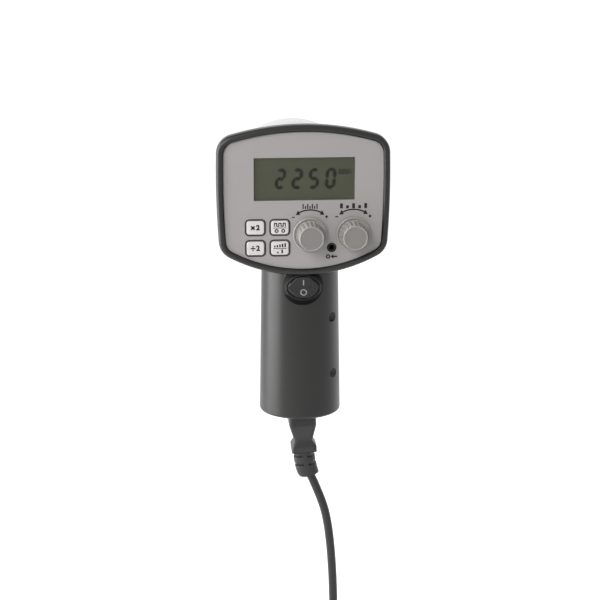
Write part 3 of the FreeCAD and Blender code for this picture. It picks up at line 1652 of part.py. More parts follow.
def check_and_export():
    """Check every object and write each piece to its own file."""
    doc.recompute()
    for thing in doc.Objects:
        if "Invalid" in thing.State or "Error" in thing.State:
            raise RuntimeError(f"{thing.Name} {thing.Label} failed: {thing.State}")
    os.makedirs("parts", exist_ok=True)
    for piece in pieces:
        shape = piece.Shape
        if shape.isNull() or not shape.isValid() or not shape.Solids:
            raise RuntimeError(f"{piece.Label} has no valid solid")
        print(piece.Label, len(shape.Solids), round(shape.Volume, 1))
        shape.exportStep(f"parts/{piece.Label}.step")


make_case_halves()
make_case_screws()
make_front_panel()
make_display()
make_keys()
make_control("fine", s.fine_x)
make_control("coarse", s.coarse_x)
make_control_nuts()
make_trigger_socket()
make_control_board()
make_power_board()
make_spacers_and_screws()
make_components()
make_power_switch()
lamp_apex = make_reflector()
make_lamp(lamp_apex)
make_lamp_cover()
make_transformer()
make_inlet()
make_connector()
plug_start = make_lead(make_relief())
make_tie()
make_plug(*plug_start)
check_and_export()
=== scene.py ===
"""Looks of a hand-held xenon stroboscope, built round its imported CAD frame."""

import json
import logging
import math
from dataclasses import dataclass
from enum import Enum
from typing import Callable, Optional, Sequence, Union

import bmesh
import bpy
from mathutils import Matrix, Vector


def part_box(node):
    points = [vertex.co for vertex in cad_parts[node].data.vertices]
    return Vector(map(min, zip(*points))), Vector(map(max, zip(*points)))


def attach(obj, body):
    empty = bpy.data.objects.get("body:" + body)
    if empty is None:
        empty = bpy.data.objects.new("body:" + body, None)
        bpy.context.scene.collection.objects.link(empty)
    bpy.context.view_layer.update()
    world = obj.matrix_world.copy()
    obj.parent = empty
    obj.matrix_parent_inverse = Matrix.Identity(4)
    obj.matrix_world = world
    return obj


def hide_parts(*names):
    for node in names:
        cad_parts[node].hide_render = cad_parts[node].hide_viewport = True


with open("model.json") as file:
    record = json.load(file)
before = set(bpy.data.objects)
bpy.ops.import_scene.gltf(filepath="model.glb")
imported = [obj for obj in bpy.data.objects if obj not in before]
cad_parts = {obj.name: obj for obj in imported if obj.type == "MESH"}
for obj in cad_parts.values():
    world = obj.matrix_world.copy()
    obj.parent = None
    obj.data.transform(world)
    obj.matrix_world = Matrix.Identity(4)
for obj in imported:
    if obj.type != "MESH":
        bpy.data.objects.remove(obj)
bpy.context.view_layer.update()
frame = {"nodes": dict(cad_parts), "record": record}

logging.basicConfig(level=logging.INFO, format="%(name)s: %(message)s")
LOG = logging.getLogger("stroboscope")

MM = 0.001
Colour = tuple[float, float, float]
Point = tuple[float, float, float]
Flat = tuple[float, float]

PANEL_FACE = -34.8 * MM
HEAD_Z = 107.0 * MM
LAMP_Z = 98.0 * MM
SWITCH_Z = 45.2 * MM
GROUND_Z = -330.0 * MM
INK_SINK = 0.02 * MM
INK_RISE = 0.04 * MM
SHARP_DEGREES = 32.0
MERGE_DISTANCE = 0.002 * MM
WELD_DISTANCE = 0.001 * MM


class Body(Enum):
    """The moving bodies of the frame."""

    HOUSING = "housing"
    KEY_DOUBLE = "key_double_body"
    KEY_TRIGGER = "key_trigger_body"
    KEY_HALVE = "key_halve_body"
    KEY_RANGE = "key_range_body"
    FINE = "fine_control"
    COARSE = "coarse_control"
    ROCKER = "rocker"


SLOTS = {part["node"]: part["material_slot"] for part in frame["record"]["subparts"]}
BODIES = {
    node: Body(body) for body, nodes in frame["record"]["behaviour"]["bodies"].items() for node in nodes
}


# Shader sockets and materials


def operator(operation: str, reflected: bool = False) -> Callable[["Wire", "Value"], "Wire"]:
    """Return a method that adds the Math node of one of Python's operators.

    Args:
        operation: The Math node's operation.
        reflected: Whether the wire is the second of the two values.

    Returns:
        The method.
    """
    def apply(wire: "Wire", other: "Value") -> "Wire":
        """Add the node."""
        return wire.combine(operation, *((other, wire) if reflected else (wire, other)))
    return apply


@dataclass(frozen=True)
class Wire:
    """An output socket of a material's nodes; arithmetic on it adds Math nodes."""

    tree: bpy.types.NodeTree
    socket: bpy.types.NodeSocket

    __add__ = operator("ADD")
    __radd__ = operator("ADD", True)
    __sub__ = operator("SUBTRACT")
    __rsub__ = operator("SUBTRACT", True)
    __mul__ = operator("MULTIPLY")
    __rmul__ = operator("MULTIPLY", True)
    __gt__ = operator("GREATER_THAN")
    __lt__ = operator("LESS_THAN")

    def combine(self, operation: str, *values: "Value") -> "Wire":
        """Add a Math node.

        Args:
            operation: The Math node's operation.
            values: Its inputs in order.

        Returns:
            The node's result.
        """
        node = self.tree.nodes.new("ShaderNodeMath")
        node.operation = operation
        for index, value in enumerate(values):
            plug(self.tree, node.inputs[index], value)
        return Wire(self.tree, node.outputs[0])

    def __abs__(self) -> "Wire":
        """Give the size without its sign."""
        return self.combine("ABSOLUTE", self)

    def wave(self) -> "Wire":
        """Give the sine."""
        return self.combine("SINE", self)

    def hold(self, low: float, high: float) -> "Wire":
        """Keep the value between two limits."""
        return self.combine("MAXIMUM", self.combine("MINIMUM", self, high), low)

    def swing(self, middle: float, spread: float) -> "Wire":
        """Turn noise, which is about a half, into a value about a middle."""
        return (self - 0.5) * spread + middle


Value = Union[Wire, float]


def plug(tree: bpy.types.NodeTree, socket: bpy.types.NodeSocket, value: Union[Wire, float, tuple]) -> None:
    """Link a wire to a socket, or set the socket to a constant."""
    if isinstance(value, Wire):
        tree.links.new(value.socket, socket)
    else:
        socket.default_value = value


def shade(colour: Colour, factor: float) -> Colour:
    """Return a colour made lighter or darker."""
    return tuple(min(1.0, c * factor) for c in colour)


class Paint:
    """A material under construction, with one Principled shader."""

    def __init__(self, name: str, **constants: Union[float, Colour]) -> None:
        """Start a material.

        Args:
            name: The material's name.
            constants: Settings of the shader that are the same all over, by socket name with
                underscores for spaces.
        """
        self.material = bpy.data.materials.new(name)
        self.material.use_nodes = True
        self.tree = self.material.node_tree
        self.shader = next(n for n in self.tree.nodes if n.type == "BSDF_PRINCIPLED")
        for key, value in constants.items():
            socket = self.shader.inputs[key.replace("_", " ")]
            socket.default_value = (*value, 1.0) if isinstance(value, tuple) else value
        self.coordinates = self.add("ShaderNodeTexCoord")

    def add(self, kind: str, settings: Optional[dict] = None,
            sockets: Optional[dict] = None) -> bpy.types.Node:
        """Add a node.

        Args:
            kind: The node's type.
            settings: Its properties, which are set first.
            sockets: Values or wires for its inputs, by name or number.

        Returns:
            The node.
        """
        node = self.tree.nodes.new(kind)
        for key, value in (settings or {}).items():
            setattr(node, key, value)
        for key, value in (sockets or {}).items():
            plug(self.tree, node.inputs[key], value)
        return node

    def out(self, node: bpy.types.Node, name: Union[str, int] = 0) -> Wire:
        """Return one of a node's outputs."""
        return Wire(self.tree, node.outputs[name])

    def place(self) -> Wire:
        """Return the Object coordinates, which are metres in the frame."""
        return self.out(self.coordinates, "Object")

    def axes(self) -> tuple[Wire, Wire, Wire]:
        """Return the Object coordinates one by one."""
        split = self.add("ShaderNodeSeparateXYZ", sockets={0: self.place()})
        return self.out(split, 0), self.out(split, 1), self.out(split, 2)

    def noise(self, size: float, detail: float = 2.0, stretch: Point = (1.0, 1.0, 1.0)) -> Wire:
        """Add noise with blobs of a size.

        Args:
            size: The size of a blob in metres.
            detail: How many finer layers it has.
            stretch: How far each axis is squeezed.

        Returns:
            The noise, about 0.5 on average.
        """
        mapping = self.add("ShaderNodeMapping", {"vector_type": "POINT"},
                           {"Vector": self.place(), "Scale": stretch})
        node = self.add("ShaderNodeTexNoise", {"noise_dimensions": "3D"},
                        {"Vector": self.out(mapping), "Scale": 1.0 / size, "Detail": detail})
        return self.out(node, "Fac")

    def blend(self, factor: Wire, first: Union[Colour, Wire], second: Union[Colour, Wire]) -> Wire:
        """Mix two colours by a factor."""
        full = [tint if isinstance(tint, Wire) else (*tint, 1.0) for tint in (first, second)]
        node = self.add("ShaderNodeMix", {"data_type": "RGBA"}, {0: factor, 6: full[0], 7: full[1]})
        return self.out(node, 2)

    def mottle(self, factor: Wire, colour: Colour, low: float, high: float) -> Wire:
        """Vary a colour between a darker and a lighter shade."""
        return self.blend(factor, shade(colour, low), shade(colour, high))

    def feed(self, name: str, wire: Wire) -> None:
        """Link a wire to one of the shader's sockets."""
        self.tree.links.new(wire.socket, self.shader.inputs[name])

    def emboss(self, height: Wire, depth: float) -> None:
        """Raise the surface by a height through a Bump node."""
        bump = self.add("ShaderNodeBump", {}, {"Height": height, "Strength": 1.0, "Distance": depth})
        self.feed("Normal", self.out(bump))


@dataclass(frozen=True)
class Moulded:
    """A moulded plastic or rubber: fine spark grain, faint cloudiness and a few rubbed patches."""

    name: str
    colour: Colour
    roughness: float = 0.45
    shine: float = 0.4
    grain: float = 0.35 * MM
    depth: float = 0.010 * MM
    cloud: float = 0.06
    cloud_size: float = 22.0 * MM
    rub: float = 0.1
    rub_size: float = 6.0 * MM
    rub_stretch: Point = (1.0, 1.0, 0.35)
    seam: bool = False
    seam_half: float = 0.07 * MM
    seam_shade: float = 0.5

    def material(self) -> bpy.types.Material:
        """Make the material.

        Returns:
            The material.
        """
        paint = Paint(self.name, Specular_IOR_Level=self.shine)
        cloud = paint.noise(self.cloud_size, 3.0)
        rub = paint.noise(self.rub_size, 4.0, self.rub_stretch)
        tint = paint.mottle(cloud, self.colour, 1.0 - self.cloud, 1.0 + self.cloud)
        if self.seam:
            line = abs(paint.axes()[0]) < self.seam_half
            tint = paint.blend(line, tint, shade(self.colour, self.seam_shade))
        paint.feed("Base Color", tint)
        paint.feed("Roughness", rub.swing(self.roughness, self.rub))
        paint.emboss(paint.noise(self.grain), self.depth)
        return paint.material


@dataclass(frozen=True)
class Film:
    """The matt printed film of the control panel, with a fine metallic fleck."""

    name: str
    colour: Colour
    roughness: float = 0.5
    shine: float = 0.4
    fleck: float = 0.06
    fleck_size: float = 0.25 * MM
    fleck_depth: float = 0.006 * MM
    fleck_sheen: float = 0.15
    cloud: float = 0.12
    cloud_size: float = 40.0 * MM
    cloud_shade: float = 0.9

    def material(self) -> bpy.types.Material:
        """Make the material.

        Returns:
            The material.
        """
        paint = Paint(self.name, Specular_IOR_Level=self.shine)
        fleck = paint.noise(self.fleck_size)
        cloud = paint.noise(self.cloud_size)
        tint = paint.mottle(fleck, self.colour, 1.0 - self.fleck, 1.0 + self.fleck)
        paint.feed("Base Color", paint.blend(cloud * self.cloud, tint, shade(self.colour, self.cloud_shade)))
        paint.feed("Roughness", fleck.swing(self.roughness, self.fleck_sheen))
        paint.emboss(fleck, self.fleck_depth)
        return paint.material


@dataclass(frozen=True)
class Metal:
    """A plated or bright metal with fine tool marks."""

    name: str
    colour: Colour
    roughness: float = 0.3
    stretch: Point = (1.0, 1.0, 8.0)
    mark: float = 0.2 * MM
    depth: float = 0.004 * MM
    mark_sheen: float = 0.14
    cloud_size: float = 9.0 * MM
    cloud_shades: Flat = (0.92, 1.05)

    def material(self) -> bpy.types.Material:
        """Make the material.

        Returns:
            The material.
        """
        paint = Paint(self.name, Metallic=1.0)
        marks = paint.noise(self.mark, 3.0, self.stretch)
        paint.feed("Base Color", paint.mottle(paint.noise(self.cloud_size), self.colour, *self.cloud_shades))
        paint.feed("Roughness", marks.swing(self.roughness, self.mark_sheen))
        paint.emboss(marks, self.depth)
        return paint.material


@dataclass(frozen=True)
class Clear:
    """A clear plastic or glass that lets what is behind it show, with faint smears and fuller edges."""

    name: str
    colour: Colour
    roughness: float = 0.06
    alpha: float = 0.16
    shine: float = 0.5
    edge: float = 0.0
    smear: float = 0.04
    smear_size: float = 14.0 * MM
    smear_depth: float = 0.01 * MM

    def material(self) -> bpy.types.Material:
        """Make the material.

        Returns:
            The material.
        """
        paint = Paint(self.name, Base_Color=self.colour, Specular_IOR_Level=self.shine)
        smear = paint.noise(self.smear_size, 3.0)
        paint.feed("Roughness", smear * self.smear + self.roughness)
        side = paint.out(paint.add("ShaderNodeLayerWeight", sockets={"Blend": 0.5}), "Facing")
        paint.feed("Alpha", side * side * side * self.edge + smear.swing(self.alpha, self.smear))
        paint.emboss(smear, self.smear_depth)
        return paint.material


@dataclass(frozen=True)
class Board:
    """A circuit board: green mask over fine copper tracks, with tinned pads."""

    name: str
    colour: Colour
    track: Colour
    pad: Colour = (0.6, 0.58, 0.52)
    roughness: float = 0.35
    track_pitch: float = 2.4 * MM
    track_bend: float = 24.0 * MM
    bend_size: float = 16.0 * MM
    gap_size: float = 9.0 * MM
    pad_pitch: float = 3.8 * MM
    track_level: float = 0.55
    pad_level: float = 0.93
    depth: float = 0.02 * MM

    def material(self) -> bpy.types.Material:
        """Make the material.

        Returns:
            The material.
        """
        paint = Paint(self.name, Roughness=self.roughness)
        across, _, up = paint.axes()
        bent = across + paint.noise(self.bend_size, 0.0) * self.track_bend
        lanes = (bent * (math.tau / self.track_pitch)).wave() > self.track_level
        tracks = lanes * (paint.noise(self.gap_size, 1.0) > 0.5)
        turn = math.tau / self.pad_pitch
        pads = (up * turn).wave() * (across * turn).wave() > self.pad_level
        tint = paint.blend(tracks, self.colour, self.track)
        paint.feed("Base Color", paint.blend(pads, tint, self.pad))
        paint.emboss(tracks, self.depth)
        return paint.material


@dataclass(frozen=True)
class Ink:
    """A flat printed ink, a little uneven."""

    name: str
    colour: Colour
    roughness: float = 0.55
    shine: float = 0.2
    speck: float = 0.1
    speck_size: float = 0.12 * MM

    def material(self) -> bpy.types.Material:
        """Make the material.

        Returns:
            The material.
        """
        paint = Paint(self.name, Specular_IOR_Level=self.shine)
        speck = paint.noise(self.speck_size, 1.0)
        paint.feed("Base Color", paint.mottle(speck, self.colour, 1.0 - self.speck, 1.0 + self.speck))
        paint.feed("Roughness", speck.swing(self.roughness, self.speck))
        return paint.material


def grey(level: float) -> Colour:
    """Return a neutral colour."""
    return (level, level, level)


FINISHES = {finish.name: finish for finish in (
    Moulded("case_black", (0.0095, 0.0085, 0.0080), roughness=0.33, seam=True),
    Film("panel_grey", (0.350, 0.335, 0.330)),
    Moulded("key_white", (0.66, 0.635, 0.62), roughness=0.5, cloud=0.02),
    Moulded("knob_grey", (0.34, 0.325, 0.31), roughness=0.34, shine=0.55, cloud=0.03),
    Moulded("knob_face", (0.228, 0.217, 0.205), roughness=0.5, shine=0.3, cloud=0.03),
    Clear("clear_plastic", (0.36, 0.38, 0.39), alpha=0.12, edge=0.45),
    Clear("window_clear", (0.3, 0.32, 0.25), alpha=0.03, roughness=0.1, shine=0.08),
    Film("display_olive", (0.070, 0.071, 0.050), shine=0.1),
    Board("board_green", (0.02, 0.12, 0.05), (0.05, 0.22, 0.09)),
    Metal("steel", (0.56, 0.55, 0.53)),
    Metal("brass_plated", (0.72, 0.67, 0.58), roughness=0.25),
    Moulded("switch_black", grey(0.012), roughness=0.28, depth=0.004 * MM, cloud=0.1),
    Moulded("inner_black", grey(0.02), roughness=0.5),
    Moulded("component_blue", (0.03, 0.08, 0.24), roughness=0.3, depth=0.02 * MM, grain=1.5 * MM),
    Moulded("winding_brown", (0.30, 0.14, 0.05), roughness=0.4),
    Metal("core_iron", (0.20, 0.19, 0.18), roughness=0.55, stretch=(1.0, 14.0, 1.0)),
    Metal("reflector_mirror", (0.80, 0.80, 0.82), roughness=0.14, stretch=(1.0, 1.0, 1.0),
          mark=2.4 * MM, depth=0.18 * MM),
    Moulded("ceramic_white", (0.82, 0.80, 0.75), roughness=0.4),
    Clear("tube_glass", (0.80, 0.83, 0.88), alpha=0.25, roughness=0.02, edge=0.6),
    Moulded("gasket_rubber", grey(0.02), roughness=0.6),
    Moulded("cord_black", grey(0.010), roughness=0.30, depth=0.003 * MM),
    Moulded("plug_black", grey(0.014), roughness=0.36),
    Ink("ink_black", (0.010, 0.009, 0.009)),
    Ink("ink_dark", (0.045, 0.039, 0.036)),
    Ink("ink_white", (0.33, 0.33, 0.32)),
    # Painted shade on the boss round the power switch: a near-black painted shadow under the switch, and a
    # dull skin that darkens the flank above it.
    Moulded("painted_shadow_black", grey(0.003), roughness=0.6, shine=0.06),
    Moulded("painted_shade_dull", (0.022, 0.021, 0.020), roughness=0.7, shine=0.08),
    Ink("segment", (0.008, 0.010, 0.006), shine=0.08),
)}


class Palette:
    """The finishes in use, each made a material once."""

    def __init__(self) -> None:
        """Start with no material made."""
        self.made: dict[str, bpy.types.Material] = {}

    def __getitem__(self, name: str) -> bpy.types.Material:
        """Return a finish's material, and make it on first use."""
        if name not in self.made:
            self.made[name] = FINISHES[name].material()
        return self.made[name]


PALETTE = Palette()


# Meshes


def place_piece(name: str, data: Union[bpy.types.Mesh, bpy.types.Curve], body: Body) -> bpy.types.Object:
    """Put a mesh or a curve in the scene as a piece of the object.

    Args:
        name: The piece's name.
        data: The mesh or the curve.
        body: The body that it rides on.

    Returns:
        The piece.
    """
    piece = bpy.data.objects.new(name, data)
    bpy.context.scene.collection.objects.link(piece)
    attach(piece, body.value)
    return piece


def finish_piece(name: str, mesh: bmesh.types.BMesh, body: Body, slot: str,
                 finish: Optional[str] = None, sharp: float = SHARP_DEGREES) -> bpy.types.Object:
    """Turn a bmesh into a piece of the object.

    Args:
        name: The piece's name.
        mesh: Its geometry, which is freed.
        body: The body that it rides on.
        slot: The record's material slot.
        finish: The finish, where it isn't the slot's own.
        sharp: The angle in degrees above which an edge stays sharp.

    Returns:
        The piece.
    """
    bmesh.ops.recalc_face_normals(mesh, faces=mesh.faces)
    data = bpy.data.meshes.new(name)
    mesh.to_mesh(data)
    mesh.free()
    data.shade_smooth()
    data.set_sharp_from_angle(angle=math.radians(sharp))
    data.materials.append(PALETTE[finish or slot])
    return place_piece(name, data, body)


def tube(name: str, kind: str, points: Sequence[Vector], radius: float, slot: str, sides: int,
         steps: int) -> bpy.types.Object:
    """Run a round tube of the housing along points.

    Args:
        name: The piece's name.
        kind: POLY for straight stretches between the points, or NURBS for a smooth line.
        points: The points in order.
        radius: The tube's radius.
        slot: The record's material slot, which is also its finish.
        sides: The curve's bevel resolution.
        steps: How many stretches a smooth line has from one point to the next.

    Returns:
        The piece.
    """
    curve = bpy.data.curves.new(name, "CURVE")
    curve.dimensions = "3D"
    curve.bevel_depth = radius
    curve.bevel_resolution = sides
    curve.resolution_u = steps
    curve.use_fill_caps = True
    spline = curve.splines.new(kind)
    spline.points.add(len(points) - 1)
    for target, point in zip(spline.points, points):
        target.co = (*point, 1.0)
    spline.order_u = 3
    spline.use_endpoint_u = True
    curve.materials.append(PALETTE[slot])
    return place_piece(name, curve, Body.HOUSING)


@dataclass(frozen=True)
class Round:
    """A cone or cylinder that faces of a node lie on."""

    foot: Point
    way: Point
    length: float
    foot_radius: float
    end_radius: float
    slack: float = 0.03 * MM

    def facing(self, point: Vector) -> Optional[Vector]:
        """Return the way that the surface faces.

        Args:
            point: A point in the frame.

        Returns:
            The outward direction at the point, or None where the point isn't on the surface.
        """
        way = Vector(self.way)
        offset = point - Vector(self.foot)
        along = offset.dot(way)
        out = offset - way * along
        taper = (self.end_radius - self.foot_radius) / self.length
        if abs(out.length - self.foot_radius - taper * along) > self.slack:
            return None
        return (out.normalized() - way * taper).normalized()


GRIP_ROUND = Round((0.0, 0.0, -52.5 * MM), (0.0, 0.0, 1.0), 119.9 * MM, 29.1 * MM, 27.1 * MM)
BARREL_ROUND = Round((0.0, 22.0 * MM, LAMP_Z), (0.0, 1.0, 0.0), 38.0 * MM, 44.5 * MM, 44.5 * MM)


@dataclass
class RefinedNode:
    """A copy of a CAD node with its loose triangles joined, so that its curves shade smoothly."""

    node: str
    rounds: tuple[Round, ...] = ()
    near: float = 0.8

    def shape(self, mesh: bmesh.types.BMesh) -> None:
        """Leave the mesh as the node has it."""

    def true_shading(self, piece: bpy.types.Object) -> None:
        """Shade the faces on the rounds as the rounds themselves, and even out the seam at the middle.

        Args:
            piece: The piece, whose modifier is taken up into its mesh.
        """
        data = piece.data
        shaded = piece.evaluated_get(bpy.context.evaluated_depsgraph_get())
        facings = [Vector(corner.vector) for corner in shaded.to_mesh().corner_normals]
        shaded.to_mesh_clear()
        piece.modifiers.clear()
        for polygon in data.polygons:
            for index, vertex in zip(polygon.loop_indices, polygon.vertices):
                if abs(data.vertices[vertex].co.x) < MERGE_DISTANCE and abs(polygon.normal.x) < self.near:
                    facings[index].x = 0.0
                    facings[index].normalize()
            for surface in self.rounds:
                found = [surface.facing(data.vertices[vertex].co) for vertex in polygon.vertices]
                if all(found) and all(way.dot(polygon.normal) > self.near for way in found):
                    for index, way in zip(polygon.loop_indices, found):
                        facings[index] = way
        data.normals_split_custom_set(facings)

    def build(self) -> bpy.types.Object:
        """Make the copy and let it stand for the node.

        Returns:
            The piece.
        """
        mesh = bmesh.new()
        mesh.from_mesh(frame["nodes"][self.node].data)
        bmesh.ops.remove_doubles(mesh, verts=mesh.verts, dist=MERGE_DISTANCE)
        self.shape(mesh)
        piece = finish_piece(f"{self.node}_skin", mesh, BODIES[self.node], SLOTS[self.node])
        even = piece.modifiers.new("even_shading", "WEIGHTED_NORMAL")
        even.mode = "FACE_AREA_WITH_ANGLE"
        even.keep_sharp = True
        if self.rounds:
            self.true_shading(piece)
        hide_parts(self.node)
        return piece


@dataclass
class BroadRelief(RefinedNode):
    """The strain relief, whose end is broader and squarer than the solid's, as a flat relief's is."""

    top: float = -80.0 * MM
    end: float = -103.6 * MM
    end_middle: float = 7.8 * MM
    end_half: float = 4.6 * MM
    outward: float = 1.7 * MM
    aside: float = -1.15 * MM
    level: float = 1.2 * MM

    def shape(self, mesh: bmesh.types.BMesh) -> None:
        """Spread the mesh more and more towards its end.

        Args:
            mesh: The copy of the node.
        """
        for vert in mesh.verts:
            share = min(1.0, max(0.0, (self.top - vert.co.z) / (self.top - self.end)))
            off = (vert.co.x - self.end_middle * share * share) / self.end_half
            vert.co.x += share * (self.aside + off * self.outward)
            vert.co.z += share * share * max(0.0, -off) * self.level


REFINED = (
    *(RefinedNode(node, (GRIP_ROUND, BARREL_ROUND)) for node in ("left_case_half", "right_case_half")),
    *(RefinedNode(node) for node in (
        "front_panel", "display_module", "key_double", "key_trigger", "key_halve", "key_range",
        "trigger_socket", "power_switch", "power_rocker", "lamp_reflector", "lamp_base", "flash_tube",
        "lamp_electrodes", "lamp_gasket", "lamp_cover", "inlet_housing", "connector_body", "plug_relief",
        "plug_body", "plug_blades", "cord_tie", "case_screws",
    )),
    BroadRelief("connector_relief"),
)


# Flat marks


class Stencil:
    """Flat shapes drawn in a plane and then given a little thickness."""

    def __init__(self) -> None:
        """Start with nothing drawn."""
        self.mesh = bmesh.new()

    def polygon(self, points: Sequence[Flat]) -> "Stencil":
        """Draw a filled outline."""
        self.mesh.faces.new([self.mesh.verts.new((x, y, 0.0)) for x, y in points])
        return self

    def sheet(self, centre: Flat, width: float, height: float,
              turn: float = 0.0) -> list[bmesh.types.BMVert]:
        """Draw a rectangle about its centre.

        Args:
            centre: Its centre.
            width: Its width.
            height: Its height.
            turn: How far it is turned, in radians.

        Returns:
            Its corners.
        """
        matrix = (Matrix.Translation((*centre, 0.0)) @ Matrix.Rotation(turn, 4, "Z")
                  @ Matrix.Diagonal((width, height, 1.0, 1.0)))
        return bmesh.ops.create_grid(self.mesh, x_segments=1, y_segments=1, size=0.5, matrix=matrix)["verts"]

    def bar(self, centre: Flat, width: float, height: float, turn: float = 0.0) -> "Stencil":
        """Draw a rectangle, which may be turned in radians, and return the stencil."""
        self.sheet(centre, width, height, turn)
        return self

    def disc(self, centre: Flat, radius: float, segments: int) -> "Stencil":
        """Draw a filled circle."""
        bmesh.ops.create_circle(self.mesh, cap_ends=True, radius=radius, segments=segments,
                                matrix=Matrix.Translation((*centre, 0.0)))
        return self

    def ring(self, centre: Flat, radius: float, line: float, steps: int, start: float = 0.0,
             sweep: float = math.tau) -> "Stencil":
        """Draw a circle or an arc as a line.

        Args:
            centre: The circle's centre.
            radius: The radius of the line's middle.
            line: The line's width.
            steps: How many straight pieces it has.
            start: Where the arc starts, in radians.
            sweep: How far it runs, in radians.

        Returns:
            The stencil.
        """
        way = Vector((math.cos(start), math.sin(start), 0.0))
        middle = Vector((*centre, 0.0))
        ends = [self.mesh.verts.new(middle + way * (radius + side * line / 2)) for side in (-1, 1)]
        edge = self.mesh.edges.new(ends)
        bmesh.ops.spin(self.mesh, geom=[*ends, edge], cent=middle, axis=(0.0, 0.0, 1.0), angle=sweep,
                       steps=steps, use_merge=sweep >= math.tau)
        return self

    def round_frame(self, centre: Flat, width: float, height: float, corner: float,
                    line: float) -> "Stencil":
        """Draw the frame of a rectangle with round corners.

        Args:
            centre: Its centre.
            width: Its outer width.
            height: Its outer height.
            corner: Its outer corner radius.
            line: The frame's width.

        Returns:
            The stencil.
        """
        made = bmesh.ops.bevel(self.mesh, geom=self.sheet(centre, width, height), offset=corner,
                               offset_type="OFFSET", segments=6, profile=0.5, affect="VERTICES", material=-1)
        faces = {face for vert in made["verts"] for face in vert.link_faces}
        whole = max(faces, key=lambda face: face.calc_area())
        bmesh.ops.inset_region(self.mesh, faces=[whole], thickness=line, use_even_offset=True,
                               use_boundary=True)
        bmesh.ops.delete(self.mesh, geom=[whole], context="FACES_ONLY")
        return self

    def pulses(self, centre: Flat, width: float, height: float, line: float, count: int = 3) -> "Stencil":
        """Draw a train of square pulses as one line.

        Args:
            centre: The middle of the train.
            width: Its width.
            height: Its height.
            line: The line's width.
            count: How many pulses it has.

        Returns:
            The stencil.
        """
        step = (width - line) / (count * 2 - 1)
        low, high = centre[1] - (height - line) / 2, centre[1] + (height - line) / 2
        left = centre[0] - (width - line) / 2
        for index in range(count * 2):
            self.bar((left + index * step, centre[1]), line, height)
            if index + 1 < count * 2:
                self.bar((left + (index + 0.5) * step, low if index % 2 else high), step, line)
        return self

    def words(self, text: str, centre: Flat, height: float, bold: float) -> "Stencil":
        """Draw numbers or signs.

        Args:
            text: What to write.
            centre: The middle of the line.
            height: The type size.
            bold: How much the strokes are thickened.

        Returns:
            The stencil.
        """
        curve = bpy.data.curves.new("words", "FONT")
        curve.body = text
        curve.size = height
        curve.offset = bold
        curve.align_x = "CENTER"
        curve.align_y = "CENTER"
        curve.resolution_u = 3
        holder = bpy.data.objects.new("words", curve)
        data = bpy.data.meshes.new_from_object(holder)
        data.transform(Matrix.Translation((*centre, 0.0)))
        self.mesh.from_mesh(data)
        bpy.data.objects.remove(holder)
        bpy.data.curves.remove(curve)
        bpy.data.meshes.remove(data)
        return self

    def widen(self, share: float) -> "Stencil":
        """Stretch everything drawn so far sideways."""
        for vert in self.mesh.verts:
            vert.co.x *= share
        return self

    def lean(self, slant: float) -> "Stencil":
        """Slant everything drawn so far to the right, by a share of its height."""
        for vert in self.mesh.verts:
            vert.co.x += vert.co.y * slant
        return self

    def piece(self, name: str, body: Body, slot: str, finish: str, plane: Matrix,
              rise: float = INK_RISE, sink: float = INK_SINK) -> bpy.types.Object:
        """Give the marks their thickness and lay them on a surface.

        Args:
            name: The piece's name.
            body: The body that it rides on.
            slot: The record's material slot.
            finish: The finish of the ink.
            plane: The surface: its X and Y are the drawing's, and its Z points out of it.
            rise: How far the marks stand out of the surface.
            sink: How far they reach into it.

        Returns:
            The piece.
        """
        bmesh.ops.remove_doubles(self.mesh, verts=self.mesh.verts, dist=WELD_DISTANCE)
        bmesh.ops.recalc_face_normals(self.mesh, faces=self.mesh.faces)
        for face in self.mesh.faces:
            if face.normal.z < 0:
                face.normal_flip()
        made = bmesh.ops.extrude_face_region(self.mesh, geom=list(self.mesh.faces), use_keep_orig=True)
        raised = [item for item in made["geom"] if isinstance(item, bmesh.types.BMVert)]
        bmesh.ops.translate(self.mesh, verts=self.mesh.verts, vec=(0.0, 0.0, -sink))
        bmesh.ops.translate(self.mesh, verts=raised, vec=(0.0, 0.0, rise + sink))
        bmesh.ops.transform(self.mesh, matrix=plane, verts=self.mesh.verts)
        return finish_piece(name, self.mesh, body, slot, finish)


def upright(x: float, y: float, z: float, tip: float = 0.0) -> Matrix:
    """Return a plane that faces the person who reads the panel.

    Args:
        x: Its origin across.
        y: Its origin's depth.
        z: Its origin's height.
        tip: How far its face is tipped down, in radians.

    Returns:
        The plane's matrix.
    """
    return Matrix.Translation((x, y, z)) @ Matrix.Rotation(math.pi / 2 + tip, 4, "X")


# The object's sub-assemblies


